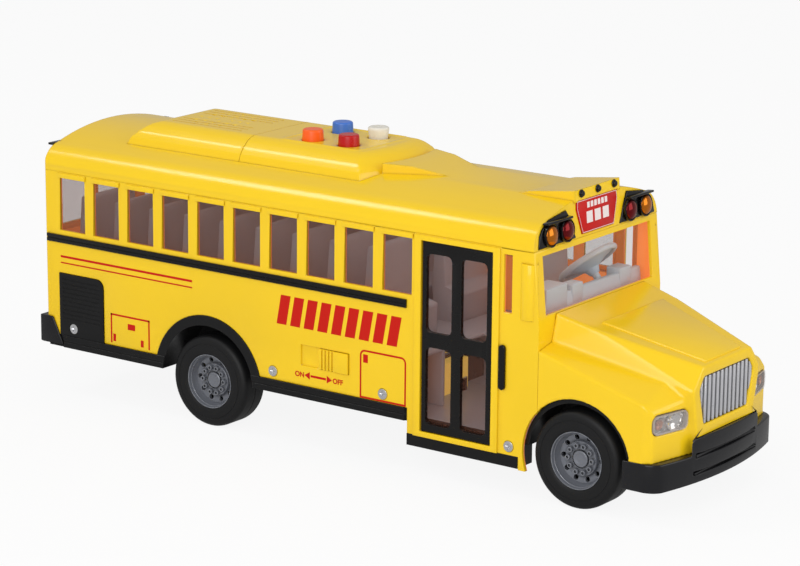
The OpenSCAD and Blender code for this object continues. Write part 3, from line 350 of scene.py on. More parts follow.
def makeMouldGroup():        # soft mottling, fine grain and faint rub marks of moulded plastic
    mouldSet = {"cloud": (22.0, 4.0), "rub": (420.0, 2.0, 0.7), "stretch": (0.25, 1.0, 1.0),
                "grainDetail": 2.0}
    group, ins, outs = newGroup(
        "mouldedSurface",
        [("Color", "NodeSocketColor", (0.8, 0.8, 0.8, 1)), ("Mottle", "NodeSocketFloat", 0.06),
         ("Roughness", "NodeSocketFloat", 0.35), ("Spread", "NodeSocketFloat", 0.08),
         ("Grain", "NodeSocketFloat", 900.0)],
        [("Color", "NodeSocketColor"), ("Roughness", "NodeSocketFloat"), ("Height", "NodeSocketFloat")])
    where = group.nodes.new("ShaderNodeTexCoord").outputs["Object"]
    stretch = group.nodes.new("ShaderNodeMapping")
    stretch.inputs["Scale"].default_value = mouldSet["stretch"]
    group.links.new(where, stretch.inputs["Vector"])
    cloud = mathNode(group, "SUBTRACT", noiseNode(group, where, *mouldSet["cloud"]), 0.5)
    rub = mathNode(group, "SUBTRACT", noiseNode(group, stretch.outputs[0], *mouldSet["rub"]), 0.5)
    shade = mathNode(group, "MULTIPLY", cloud, ins["Mottle"])
    value = group.nodes.new("ShaderNodeHueSaturation")
    group.links.new(mathNode(group, "ADD", shade, 1.0), value.inputs["Value"])
    group.links.new(ins["Color"], value.inputs["Color"])
    group.links.new(value.outputs[0], outs["Color"])
    uneven = mathNode(group, "MULTIPLY", mathNode(group, "ADD", cloud, rub), ins["Spread"])
    group.links.new(mathNode(group, "ADD", ins["Roughness"], uneven, True), outs["Roughness"])
    group.links.new(noiseNode(group, where, ins["Grain"], mouldSet["grainDetail"]), outs["Height"])
    return group


def makeEdgeGroup():        # rubbed, paler edges
    edgeSet = {"samples": 4, "bend": (0.995, 0.85), "noise": (700.0, 3.0), "broken": (0.3, 0.7)}
    group, ins, outs = newGroup(
        "rubbedEdge",
        [("Color", "NodeSocketColor", (0.1, 0.1, 0.1, 1)), ("Rubbed", "NodeSocketColor", (0.4, 0.4, 0.4, 1)),
         ("Width", "NodeSocketFloat", 0.0004), ("Amount", "NodeSocketFloat", 0.4)],
        [("Color", "NodeSocketColor")])
    where = group.nodes.new("ShaderNodeTexCoord").outputs["Object"]
    bevel = group.nodes.new("ShaderNodeBevel")
    bevel.samples = edgeSet["samples"]
    group.links.new(ins["Width"], bevel.inputs["Radius"])
    across = group.nodes.new("ShaderNodeVectorMath")
    across.operation = "DOT_PRODUCT"
    group.links.new(bevel.outputs[0], across.inputs[0])
    group.links.new(group.nodes.new("ShaderNodeNewGeometry").outputs["Normal"], across.inputs[1])
    edge = rangeNode(group, across.outputs["Value"], *edgeSet["bend"])
    broken = rangeNode(group, noiseNode(group, where, *edgeSet["noise"]), *edgeSet["broken"])
    amount = mathNode(group, "MULTIPLY", mathNode(group, "MULTIPLY", edge, broken), ins["Amount"], True)
    group.links.new(mixColor(group, amount, ins["Color"], ins["Rubbed"]), outs["Color"])
    return group


def makePaintedShadeGroup():        # painted shade: darker seams, grooves and corners, found by ambient occlusion
    creviceShadeSet = {"samples": 6, "open": (0.9, 0.3)}
    group, ins, outs = newGroup(
        "paintedCreviceShade",
        [("Color", "NodeSocketColor", (0.5, 0.5, 0.5, 1)), ("Deep", "NodeSocketColor", (0.01, 0.01, 0.01, 1)),
         ("Reach", "NodeSocketFloat", 0.0012), ("Amount", "NodeSocketFloat", 0.6)],
        [("Color", "NodeSocketColor")])
    hidden = group.nodes.new("ShaderNodeAmbientOcclusion")
    hidden.samples = creviceShadeSet["samples"]
    group.links.new(ins["Reach"], hidden.inputs["Distance"])
    depth = rangeNode(group, hidden.outputs["AO"], *creviceShadeSet["open"])
    amount = mathNode(group, "MULTIPLY", depth, ins["Amount"], True)
    group.links.new(mixColor(group, amount, ins["Color"], ins["Deep"]), outs["Color"])
    return group


mouldGroup = makeMouldGroup()
paintedShadeGroup = makePaintedShadeGroup()
edgeGroup = makeEdgeGroup()
print("shared effects ready")


# materials

def srgb(red, green, blue):
    shares = [c / 255 for c in (red, green, blue)]
    return tuple(c / 12.92 if c < 0.0404 else ((c + 0.055) / 1.055) ** 2.4 for c in shares) + (1,)


# edge and crevice are each a colour, a reach in mm and a strength; the crevice colour is painted shade in
# seams, grooves and hollows
def plastic(name, color, rough, spread=0.08, mottle=0.06, grain=900.0, bump=0.03,
            edge=None, soft=0.0, creviceShade=None, **sockets):
    plasticSet = {"relief": 0.1, "samples": 4}
    material = bpy.data.materials.new(name)
    material.use_nodes = True
    tree = material.node_tree
    shader = tree.nodes["Principled BSDF"]
    mould = groupNode(tree, mouldGroup, Color=color, Mottle=mottle, Roughness=rough, Spread=spread,
                      Grain=grain)
    tint = mould["Color"]
    if edge:
        rubbed, width, amount = edge
        tint = groupNode(tree, edgeGroup, Color=tint, Rubbed=rubbed, Width=width * mm, Amount=amount)["Color"]
    # painted shade: the colour darkens in seams, grooves and hollows
    if creviceShade:
        deep, reach, amount = creviceShade
        tint = groupNode(tree, paintedShadeGroup, Color=tint, Deep=deep, Reach=reach * mm, Amount=amount)["Color"]
    tree.links.new(tint, shader.inputs["Base Color"])
    tree.links.new(mould["Roughness"], shader.inputs["Roughness"])
    relief = tree.nodes.new("ShaderNodeBump")
    relief.inputs["Strength"].default_value = bump
    relief.inputs["Distance"].default_value = plasticSet["relief"] * mm
    tree.links.new(mould["Height"], relief.inputs["Height"])
    tree.links.new(relief.outputs[0], shader.inputs["Normal"])
    if soft:
        rounding = tree.nodes.new("ShaderNodeBevel")
        rounding.samples = plasticSet["samples"]
        rounding.inputs["Radius"].default_value = soft * mm
        tree.links.new(rounding.outputs[0], relief.inputs["Normal"])
    for label, value in sockets.items():
        shader.inputs[label.replace("_", " ")].default_value = value
    return material


def paintedGlowMask(material, mask, color, light, glow):        # painted tint and painted glow where the mask is one, standing in for the light and shade inside the cabin
    tree = material.node_tree
    shader = tree.nodes["Principled BSDF"]
    outer = shader.inputs["Base Color"].links[0].from_socket
    tree.links.new(mixColor(tree, mask, outer, color), shader.inputs["Base Color"])
    shader.inputs["Emission Color"].default_value = light
    tree.links.new(mathNode(tree, "MULTIPLY", mask, glow), shader.inputs["Emission Strength"])


# one inside the cabin, where its light and shade are painted, within walls of these thicknesses, the front
# one leaning back from leanZ up
def insideMask(tree, side, rear, front):
    wallSet = {"leanZ": 72.9, "lean": 0.0893}
    x, y, z = splitNode(tree, "ShaderNodeTexCoord", "Object")
    within = mathNode(tree, "LESS_THAN", mathNode(tree, "ABSOLUTE", y), (halfWidth - side) * mm)
    rise = mathNode(tree, "MAXIMUM", mathNode(tree, "SUBTRACT", z, wallSet["leanZ"] * mm), 0.0)
    leaned = mathNode(tree, "ADD", x, mathNode(tree, "MULTIPLY", rise, wallSet["lean"]))
    ahead = mathNode(tree, "LESS_THAN", leaned, (cowlX - front) * mm)
    behind = mathNode(tree, "GREATER_THAN", x, (rearX + rear) * mm)
    return mathNode(tree, "MULTIPLY", within, mathNode(tree, "MULTIPLY", ahead, behind))


def facingMask(tree, operation, limit):        # one where the surface looks up or down past a limit
    facing = splitNode(tree, "ShaderNodeNewGeometry", "True Normal")["Z"]
    return mathNode(tree, operation, facing, limit)


# after the colour: roughness, its spread, mottling, scale of the grain and its relief
pale = srgb(120, 118, 115)
# painted shade colours for the seams and hollows of the yellow and the black plastics, with reach in mm and
# strength
yellowCreviceShade = (srgb(158, 100, 0), 1.0, 0.5)
blackCreviceShade = (srgb(2, 2, 2), 1.5, 0.8)
busYellow = (srgb(247, 205, 28), 0.18, 0.1, 0.05, 1400.0, 0.02)
bodyYellow = plastic("bodyYellow", *busYellow, creviceShade=yellowCreviceShade)
shellYellow = plastic("shellYellow", *busYellow, creviceShade=yellowCreviceShade)
hoodYellow = plastic("hoodYellow", *busYellow)
roofYellow = plastic("roofYellow", *busYellow, soft=0.9, creviceShade=yellowCreviceShade)
# the floor box's yellow glows with painted light
glowingBoxYellow = plastic("glowingBoxYellow", srgb(252, 214, 96), 0.4, 0.1, 0.06,
                    Emission_Color=srgb(250, 206, 100), Emission_Strength=0.42)
glossBlack = plastic("glossBlack", srgb(15, 15, 16), 0.14, 0.08, 0.2, 1600.0, 0.03, Specular_IOR_Level=0.4)
trimBlack = plastic("trimBlack", srgb(17, 16, 16), 0.27, 0.1, 0.2, 1600.0, 0.04,
                    edge=(pale, 0.25, 0.25), creviceShade=blackCreviceShade, Specular_IOR_Level=0.3)
chassisBlack = plastic("chassisBlack", srgb(17, 17, 18), 0.3, 0.12, 0.2, 1200.0, 0.06,
                       edge=(pale, 0.4, 0.2), soft=0.5, creviceShade=blackCreviceShade, Specular_IOR_Level=0.3)
bumperBlack = plastic("bumperBlack", srgb(21, 21, 24), 0.24, 0.12, 0.15, 1500.0, 0.05,
                      edge=(pale, 0.4, 0.3), creviceShade=blackCreviceShade, Specular_IOR_Level=0.4)
louvreBlack = plastic("louvreBlack", srgb(18, 18, 19), 0.45, 0.1, 0.2, 1800.0, 0.1,
                      edge=(pale, 0.2, 0.2), creviceShade=blackCreviceShade, Specular_IOR_Level=0.3)
tyreRubber = plastic("tyreRubber", srgb(21, 21, 22), 0.5, 0.12, 0.25, 1500.0, 0.15, Specular_IOR_Level=0.3)
# painted shade darkens the rim's vents, grooves and hub
rimGrey = plastic("rimGrey", srgb(124, 127, 135), 0.3, 0.12, 0.08, 1300.0, 0.04,
                  edge=(srgb(215, 216, 220), 0.25, 0.8), creviceShade=(srgb(12, 12, 13), 1.6, 0.95), Metallic=0.35)
cabinGrey = plastic("cabinGrey", srgb(176, 184, 194), 0.5, 0.1, 0.06, 1200.0, 0.06)
dashGrey = plastic("dashGrey", srgb(188, 192, 198), 0.48, 0.1, 0.06, 1200.0, 0.06)
printRed = plastic("printRed", srgb(200, 22, 6), 0.38, 0.1, 0.1, 2200.0, 0.03, Specular_IOR_Level=0.2)
printWhite = plastic("printWhite", srgb(238, 226, 226), 0.4, 0.1, 0.06, 2200.0, 0.03)
signRed = plastic("signRed", srgb(196, 14, 8), 0.32, 0.08, 0.06, 1800.0, 0.03, Specular_IOR_Level=0.25)
buttonOrange = plastic("buttonOrange", srgb(250, 98, 18), 0.3, 0.1, 0.06, 1600.0, 0.03)
buttonBlue = plastic("buttonBlue", srgb(66, 116, 208), 0.3, 0.1, 0.06, 1600.0, 0.03)
buttonRed = plastic("buttonRed", srgb(186, 8, 8), 0.26, 0.08, 0.06, 1600.0, 0.03)
buttonWhite = plastic("buttonWhite", srgb(246, 242, 230), 0.28, 0.08, 0.04, 1600.0, 0.03, Alpha=0.72)
# painted shade darkens the gaps between the grille's bars
grilleSilver = plastic("grilleSilver", srgb(216, 216, 220), 0.3, 0.12, 0.05, 1500.0, 0.03,
                       creviceShade=(srgb(36, 36, 40), 1.8, 0.9), Metallic=0.6)
chrome = plastic("chrome", srgb(225, 222, 220), 0.12, 0.08, 0.04, 1500.0, 0.01, Metallic=1.0)
bulbAmber = plastic("bulbAmber", srgb(176, 118, 92), 0.25, 0.1, 0.1, 1500.0, 0.02, Metallic=0.5)
bezelGrey = plastic("bezelGrey", srgb(170, 158, 148), 0.3, 0.1, 0.06, 1500.0, 0.02, Metallic=0.25)
lensClear = plastic("lensClear", srgb(226, 222, 220), 0.08, 0.05, 0.03, 300.0, 0.02, Alpha=0.22)
# painted shade darkens the lens domes towards their rims
lensAmber = plastic("lensAmber", srgb(206, 116, 4), 0.1, 0.05, 0.1, 500.0, 0.02,
                    creviceShade=(srgb(70, 24, 0), 3.0, 0.8), Metallic=0.85, Coat_Weight=0.25)
lensRed = plastic("lensRed", srgb(116, 0, 6), 0.1, 0.05, 0.1, 500.0, 0.02,
                  creviceShade=(srgb(40, 0, 2), 3.0, 0.8), Metallic=0.85, Coat_Weight=0.25)
glazing = plastic("glazing", srgb(120, 78, 62), 0.1, 0.06, 0.08, 200.0, 0.01, Alpha=0.17)
screenGlazing = plastic("screenGlazing", srgb(176, 174, 168), 0.1, 0.06, 0.08, 200.0, 0.01, Alpha=0.04)
steel = plastic("steel", srgb(238, 238, 240), 0.2, 0.15, 0.08, 1800.0, 0.04, Metallic=1.0)
silicone = plastic("silicone", srgb(150, 150, 150), 0.6)
boardGreen = plastic("boardGreen", srgb(30, 104, 58), 0.4, 0.1, 0.2, 400.0)
componentGrey = plastic("componentGrey", srgb(70, 70, 72), 0.5)
gearWhite = plastic("gearWhite", srgb(232, 230, 222), 0.45)
cellWrap = plastic("cellWrap", srgb(88, 90, 96), 0.3, 0.1, 0.1, 900.0, 0.02, Metallic=0.5)
print("materials ready")


# camera, light and floor

def makeCamera():
    cameraSet = {"target": (-2.95, 0, 50), "azimuth": 35.81, "elevation": 14.75, "roll": 0.48,
                 "distance": 1280, "lens": 131.73, "shiftX": 0.00955, "shiftY": 0.0444}
    azimuth, elevation, roll = (math.radians(cameraSet[k]) for k in ("azimuth", "elevation", "roll"))
    level = math.cos(elevation)
    back = Vector((math.sin(azimuth) * level, -math.cos(azimuth) * level, math.sin(elevation)))
    right = Vector((math.cos(azimuth), math.sin(azimuth), 0))
    up = back.cross(right)
    right, up = right * math.cos(roll) + up * math.sin(roll), up * math.cos(roll) - right * math.sin(roll)
    bpy.ops.object.camera_add(location=(Vector(cameraSet["target"]) + back * cameraSet["distance"]) * mm)
    camera = bpy.context.object
    camera.rotation_euler = Matrix((right, up, back)).transposed().to_euler()
    camera.data.lens = cameraSet["lens"]
    camera.data.shift_x = cameraSet["shiftX"]
    camera.data.shift_y = cameraSet["shiftY"]
    bpy.context.scene.camera = camera


def makeLights():        # power, size and place of each, in watts and metres
    lightSet = {"keyLight": (8.6, 1.0, (0.4, -1.2, 0.6)), "topLight": (2.8, 0.38, (-0.85, -0.4, 1.2)),
                "fillLight": (4.2, 0.9, (1.15, 0.35, 0.5))}
    target = Vector((0, 0, 0.05))
    for name, (power, size, spot) in lightSet.items():
        bpy.ops.object.light_add(type="AREA", location=spot)
        light = bpy.context.object
        light.name = name
        light.data.energy = power
        light.data.size = size
        light.rotation_euler = (target - Vector(spot)).to_track_quat("-Z", "Y").to_euler()


# where the backdrop shows, and how bright: full to the eye and through glass, dimmer in gloss
def seenLevel(tree, mirrored):
    rays = tree.nodes.new("ShaderNodeLightPath").outputs
    direct = mathNode(tree, "MAXIMUM", rays["Is Camera Ray"], rays["Is Transmission Ray"])
    seen = mathNode(tree, "MAXIMUM", direct, rays["Is Glossy Ray"])
    return seen, mathNode(tree, "MAXIMUM", direct, mirrored)


def makeBackdrop():
    paperSet = {"size": 8, "z": -0.02, "grey": (0.82, 0.82, 0.82, 1), "share": 0.9,
                "mirrored": 0.4, "ambient": 0.56}
    bpy.ops.mesh.primitive_plane_add(size=paperSet["size"], location=(0, 0, paperSet["z"] * mm))
    floor = bpy.context.object
    floor.name = "studioFloor"
    paper = bpy.data.materials.new("studioPaper")
    paper.use_nodes = True
    tree = paper.node_tree
    tree.nodes.clear()
    seen, level = seenLevel(tree, paperSet["mirrored"])
    lit = tree.nodes.new("ShaderNodeBsdfDiffuse")
    lit.inputs["Color"].default_value = paperSet["grey"]
    glow = tree.nodes.new("ShaderNodeEmission")
    tree.links.new(level, glow.inputs["Strength"])
    blend = tree.nodes.new("ShaderNodeMixShader")
    tree.links.new(mathNode(tree, "MULTIPLY", seen, paperSet["share"]), blend.inputs[0])
    tree.links.new(lit.outputs[0], blend.inputs[1])
    tree.links.new(glow.outputs[0], blend.inputs[2])
    tree.links.new(blend.outputs[0], tree.nodes.new("ShaderNodeOutputMaterial").inputs[0])
    floor.data.materials.append(paper)

    world = bpy.data.worlds.new("studioAir")
    bpy.context.scene.world = world
    world.use_nodes = True
    tree = world.node_tree
    seen, level = seenLevel(tree, paperSet["mirrored"])
    sky = tree.nodes["Background"]
    sky.inputs["Color"].default_value = (1, 1, 1, 1)
    unseen = mathNode(tree, "MULTIPLY", mathNode(tree, "SUBTRACT", 1.0, seen), paperSet["ambient"])
    strength = mathNode(tree, "ADD", mathNode(tree, "MULTIPLY", seen, level), unseen)
    tree.links.new(strength, sky.inputs["Strength"])
    bpy.context.scene.view_settings.view_transform = "Standard"


makeCamera()
makeLights()
makeBackdrop()
print("camera and light ready")


# yellow shells and black mouldings, softened copies of the CAD forms

def makeBody():
    bodySet = {"round": 0.3, "jointX": 0.6, "jointZ": 73, "walls": (1.2, 1.2, 1.4), "glow": 0.34,
               "inside": srgb(240, 132, 52), "light": srgb(250, 150, 84)}
    lipSet = {"count": 10, "first": -153.4, "pitch": 20.0, "length": 13.7, "z": (101.5, 103.0),
              "proud": 0.55, "sunk": 0.5, "round": 0.3}
    # the cabin side of the walls is painted a darker orange shade and given a painted glow
    mask = insideMask(shellYellow.node_tree, *bodySet["walls"])
    paintedGlowMask(shellYellow, mask, bodySet["inside"], bodySet["light"], bodySet["glow"])

    def offJoint(a, b):        # edges away from the joint with the hood
        return min(a.x, b.x) < cowlX - bodySet["jointX"] or min(a.z, b.z) > bodySet["jointZ"]

    pieces = [softened("body_shell", bodySet["round"], test=offJoint)]
    low, high = lipSet["z"]
    for i in range(lipSet["count"]):        # rain lips over the windows
        start = lipSet["first"] + i * lipSet["pitch"]
        lip = block("rainLip", (start, -halfWidth - lipSet["proud"], low),
                    (start + lipSet["length"], -halfWidth + lipSet["sunk"], high))
        roundEdges(lip, lipSet["round"], 3)
        pieces += [lip, twin(lip, "lipTwin", Matrix.Scale(-1, 4, (0, 1, 0)))]
    dress(joined("body_shell_soft", pieces), "bus", "body_yellow", shellYellow, "body_shell")
    print("body shell ready")


def makeTrim():        # nodes, width of the rounding, its segments, shortest edge, body, slot and finish
    trimSet = (
        (("front_bumper", "rear_bumper"), 0.6, 3, 0.5, "bus", "bumper_black", bumperBlack),
        (("door_frame",), 0.22, 2, 0.5, "door", "trim_black", trimBlack),
        (("belt_rail_right", "belt_rail_left"), 0.12, 2, 0.3, "bus", "trim_black", trimBlack),
        (("louvre_right", "louvre_left"), 0.15, 2, 0.35, "bus", "trim_black", louvreBlack),
        (("warning_box_right", "warning_box_left", "rear_lamp_box_right", "rear_lamp_box_left"),
         0.35, 3, 0.5, "bus", "trim_black", glossBlack),
        (("marker_lamps",), 0.3, 3, 0.1, "bus", "trim_black", glossBlack),
        (("grab_bar",), 0.4, 3, 0.15, "bus", "trim_black", trimBlack),
        (("power_slider",), 0.2, 2, 0.5, "switch_slider", "body_yellow", bodyYellow),
        (("seat_tray",), 0.9, 3, 0.5, "bus", "cabin_grey", cabinGrey))
    for names, width, segments, shortest, body, slot, material in trimSet:
        for node in names:
            dress(softened(node, width, segments, shortest), body, slot, material, node)
    print("trim ready")


def makeCabin():        # pods: sides, depth and rise
    cabinSet = {"round": 0.6, "pods": ((-33, -17, 10, 4.0), (-13, -5, 6, 2.4), (24, 33, 7, 2.0)),
                "podBack": 3.9, "podFoot": 6, "dishAt": (91.85, 17.06, 78.42), "dishTurn": (0, -40, 0),
                "boxLow": (21, -22, 24.6), "boxHigh": (35, 4, 38.5)}
    dishProfile = [(2.2, 3.2), (3.4, 5.6), (8.5, 7.9), (12.4, 8.9), (12.4, 9.5), (8.2, 8.7), (4.4, 7.0),
                   (2.6, 6.4), (0, 6.4)]
    dash = [softened("dashboard", cabinSet["round"], 3)]
    top = corners("dashboard")[1]
    front = top.x - cabinSet["podBack"]
    for y0, y1, deep, rise in cabinSet["pods"]:
        pod = block("dashPod", (front - deep, y0, top.z - cabinSet["podFoot"]), (front, y1, top.z + rise))
        dash.append(roundEdges(pod, cabinSet["round"], 3))
    dress(joined("dashboard_soft", dash), "bus", "cabin_grey", dashGrey, "dashboard")
    dish = place(turned("steering_dish", dishProfile, 48), cabinSet["dishAt"], cabinSet["dishTurn"])
    dress(smooth(dish), "bus", "cabin_grey", cabinGrey)
    # a yellow box in the cabin, lit by its own painted glow
    box = block("floor_box", cabinSet["boxLow"], cabinSet["boxHigh"])
    dress(roundEdges(box, cabinSet["round"], 3), "bus", "body_yellow", glowingBoxYellow)
    print("cabin ready")


def makeRoof():
    roofSet = {"walls": (2.2, 2, 2), "down": -0.15, "glow": 0.55, "smooth": 28,
               "inside": srgb(236, 190, 140), "light": srgb(238, 236, 240)}
    # the roof's underside in the cabin is painted paler and glows with painted light that lights the seats
    tree = roofYellow.node_tree
    mask = mathNode(tree, "MULTIPLY", insideMask(tree, *roofSet["walls"]),
                    facingMask(tree, "LESS_THAN", roofSet["down"]))
    paintedGlowMask(roofYellow, mask, roofSet["inside"], roofSet["light"], roofSet["glow"])
    roof = smooth(cast("roof_shell", "roof_shell_soft"), roofSet["smooth"])
    dress(roof, "bus", "body_yellow", roofYellow, "roof_shell")
    print("roof ready")


def makeHood():        # with a raised panel that narrows to the front
    hoodSet = {"voxel": 0.65, "flow": 8, "joint": 0.7, "cowlZ": 76.7, "lipZ": 60.9, "rear": 15, "front": 2.2,
               "rearY": 24, "frontY": 14, "rise": 0.7, "sunk": 1, "round": 0.6}
    slope = (hoodSet["cowlZ"] - hoodSet["lipZ"]) / (noseX - cowlX)
    footZ = corners("hood")[0].z + hoodSet["joint"]
    hood = melted("hood", hoodSet["voxel"], hoodSet["flow"],
                  lambda p: p.x > cowlX + hoodSet["joint"] and p.z > footZ)
    length = math.hypot(1, slope) * (noseX - cowlX - hoodSet["rear"] - hoodSet["front"])
    panel = block("hoodPanel", (0, -hoodSet["rearY"], -hoodSet["sunk"]),
                  (length, hoodSet["rearY"], hoodSet["rise"]))
    pickFaces(panel, lambda c, n: n.x > 0.9)
    bpy.ops.transform.resize(value=(1, hoodSet["frontY"] / hoodSet["rearY"], 1))
    roundEdges(panel, hoodSet["round"], 3)
    place(panel, (cowlX + hoodSet["rear"], 0, hoodSet["cowlZ"] - hoodSet["rear"] * slope),
          (0, math.degrees(math.atan(slope)), 0))
    dress(joined("hood_soft", [hood, panel]), "bus", "body_yellow", hoodYellow, "hood")
    print("hood ready")


def makeConsole():        # grooves are cut along the speaker's half
    consoleSet = {"voxel": 0.55, "flow": 12, "foot": 5.8, "joint": 0.7, "smooth": 35}
    grooveSet = {"width": 0.7, "depth": 0.5, "over": 1, "spots": (-15, -11, -7, 7, 11, 15), "ends": (14, 10)}
    low, high = corners("speaker_cover")
    footZ, seamX = low.z + consoleSet["foot"], high.x

    def offJoint(p):        # points away from the foot and the seam between the halves
        return p.z > footZ and abs(p.x - seamX) > consoleSet["joint"]

    speaker = melted("speaker_cover", consoleSet["voxel"], consoleSet["flow"], offJoint)
    half = grooveSet["width"] / 2
    rear, front = grooveSet["ends"]
    grooves = [block("groove", (low.x + rear, y - half, high.z - grooveSet["depth"]),
                     (high.x - front, y + half, high.z + grooveSet["over"])) for y in grooveSet["spots"]]
    cut(speaker, joined("grooves", grooves))
    dress(smooth(speaker, consoleSet["smooth"]), "bus", "body_yellow", bodyYellow, "speaker_cover")
    panel = melted("button_cover", consoleSet["voxel"], consoleSet["flow"], offJoint)
    dress(panel, "bus", "body_yellow", bodyYellow, "button_cover")
    print("console ready")


def makeButtons():        # the white one flares, the others taper
    buttonSet = {"radius": 4.7, "taper": 0.18, "flare": 0.5, "round": 0.9, "dish": 0.12, "shown": 4.4}
    finishes = {"orange": buttonOrange, "blue": buttonBlue, "red": buttonRed, "white": buttonWhite}
    radius, bend = buttonSet["radius"], buttonSet["round"]
    for color, material in finishes.items():
        node = "button_" + color
        low, high = corners(node)
        centre = (low + high) / 2
        top = high.z
        foot = radius - (buttonSet["flare"] if color == "white" else 0)
        crown = radius - (0 if color == "white" else buttonSet["taper"])
        profile = [(foot, low.z), (foot, top - buttonSet["shown"]), (crown, top - bend)]
        profile += arc((crown - bend, top - bend), bend, 0, 90, 5)[1:]
        profile += [(radius / 2, top - buttonSet["dish"]), (0, top - buttonSet["dish"])]
        button = place(turned(node + "_cap", profile), (centre.x, centre.y, 0))
        dress(smooth(button), color + "_button", node, material, node)
    print("buttons ready")


def makeTyre():        # with a back wall behind the rim
    tyreSet = {"inner": 12.3, "outer": 20.5, "width": 15.0, "shoulder": 2.6, "groove": 0.35, "wallR": 4.6,
               "wall": (5.6, 6.4), "lap": 0.4, "count": 80, "smooth": 40}
    inner, outer, width, bend = (tyreSet[k] for k in ("inner", "outer", "width", "shoulder"))
    sunk = outer - tyreSet["groove"]
    bead = [(inner, 0.5), (inner + 0.6, 0.12), (inner + 2, 0)]
    profile = bead + arc((outer - bend, bend), bend, -90, 0, 6)
    profile += [(outer, 7.2), (sunk, 7.4), (sunk, 7.6), (outer, 7.8)]
    profile += arc((outer - bend, width - bend), bend, 0, 90, 6)
    profile += [(17.0, width), (16.9, width - 0.15), (16.5, width - 0.15), (16.4, width)]
    profile += [(r, width - h) for r, h in reversed(bead)] + bead[:1]
    near, far = tyreSet["wallR"], inner + tyreSet["lap"]
    low, high = tyreSet["wall"]
    wall = turned("backWall", [(near, low), (far, low), (far, high), (near, high), (near, low)],
                  tyreSet["count"], True)
    tyre = turned("tyreForm", profile, tyreSet["count"], True)
    return smooth(joined("tyreForm", [tyre, wall]), tyreSet["smooth"])


def makeRim():        # a dish with vents and nuts round the hub
    rimSet = {"holes": 10, "ventR": 1.15, "ventRing": 8.95, "ventZ": 9.5, "ventDepth": 6, "nutRing": 5.75,
              "count": 80, "smooth": 35}
    profile = [(1.5, 10.4), (1.5, -3.4), (4.5, -3.4), (4.5, 8.2), (11.0, 8.6), (11.0, 1.0), (12.25, 1.0),
               (12.25, 14.35), (12.1, 14.6), (11.85, 14.62), (11.7, 14.3), (11.5, 13.2), (11.3, 13.1),
               (11.2, 12.2), (10.6, 10.6), (10.2, 10.0), (7.6, 9.4), (7.45, 9.8), (7.3, 10.7), (7.1, 10.9),
               (4.1, 10.9), (3.95, 10.5), (3.6, 10.5), (3.45, 10.9), (3.4, 11.3), (3.15, 11.5), (2.5, 11.5),
               (2.2, 11.3), (1.2, 11.25), (0, 11.25)]
    nutProfile = [(1.15, 10.5), (1.15, 12.0), (1.0, 12.25), (0.65, 12.25), (0.55, 11.7), (0, 11.7)]
    rim = turned("rimForm", profile, rimSet["count"])
    vents, nuts = [], []
    for i in range(rimSet["holes"]):
        turn = 2 * math.pi * i / rimSet["holes"]
        spot = Vector((math.cos(turn), math.sin(turn), 0))
        at = spot * rimSet["ventRing"] + Vector((0, 0, rimSet["ventZ"]))
        bpy.ops.mesh.primitive_cylinder_add(vertices=20, radius=rimSet["ventR"] * mm,
                                            depth=rimSet["ventDepth"] * mm, location=at * mm)
        vents.append(settle(bpy.context.object, "vent"))
        nuts.append(place(turned("nut", nutProfile, 16), spot * rimSet["nutRing"]))
    cut(rim, joined("vents", vents))
    return smooth(joined("rimForm", [rim] + nuts), rimSet["smooth"])


def makeWheels():
    tyre, rim = makeTyre(), makeRim()
    for end in ("front", "rear"):
        for side, sign in (("right", -1), ("left", 1)):
            node = end + "_" + side
            low, high = corners("tyre_" + node)
            centre = (low + high) / 2
            spot = Vector((centre.x, sign * min(abs(low.y), abs(high.y)), centre.z)) * mm
            where = Matrix.Translation(spot) @ Matrix.Rotation(math.radians(-90 * sign), 4, "X")
            for form, kind, slot, material in ((tyre, "tyre_", "tyre_black", tyreRubber),
                                               (rim, "rim_", "rim_grey", rimGrey)):
                piece = twin(form, kind + node + "_turned", where)
                dress(piece, end + "_wheels", slot, material, kind + node)
    for form in (tyre, rim):
        bpy.data.objects.remove(form)
    print("wheels ready")


def makeGlazing():        # raised panes in the window openings
    windowSet = {"first": -153.95, "pitch": 20.0, "width": 14.8, "sill": 76.9, "head": 101.1, "gap": 0.12,
                 "recess": 0.5, "depth": 1.4, "round": 0.35}
    gap = windowSet["gap"]
    for side, node, count in ((-1, "side_glazing_right", 10), (1, "side_glazing_left", 12)):
        pieces = [cast(node, node + "_panes")]
        outer = side * (halfWidth - windowSet["recess"])
        near, far = sorted((outer, outer - side * windowSet["depth"]))
        for i in range(count):
            start = windowSet["first"] + i * windowSet["pitch"] + gap
            pane = block("pane", (start, near, windowSet["sill"] + gap),
                         (start + windowSet["width"] - 2 * gap, far, windowSet["head"] - gap))
            pieces.append(roundEdges(pane, windowSet["round"], 2))
        dress(joined(node + "_panes", pieces), "bus", "glazing", glazing, node)
    print("window panes ready")


def makeGrille():        # only the upright front edges of its bars are rounded
    grilleSet = {"round": 0.55, "front": 0.5, "shortest": 3, "steep": 3}
    grille = cast("radiator_grille", "radiator_grille_bars")
    front = corners("radiator_grille")[1].x - grilleSet["front"]
    roundEdges(grille, grilleSet["round"], 3, grilleSet["shortest"],
               lambda a, b: min(a.x, b.x) > front and abs(a.z - b.z) > grilleSet["steep"] * abs(a.y - b.y))
    dress(grille, "bus", "grille_silver", grilleSilver, "radiator_grille")
    print("grille ready")


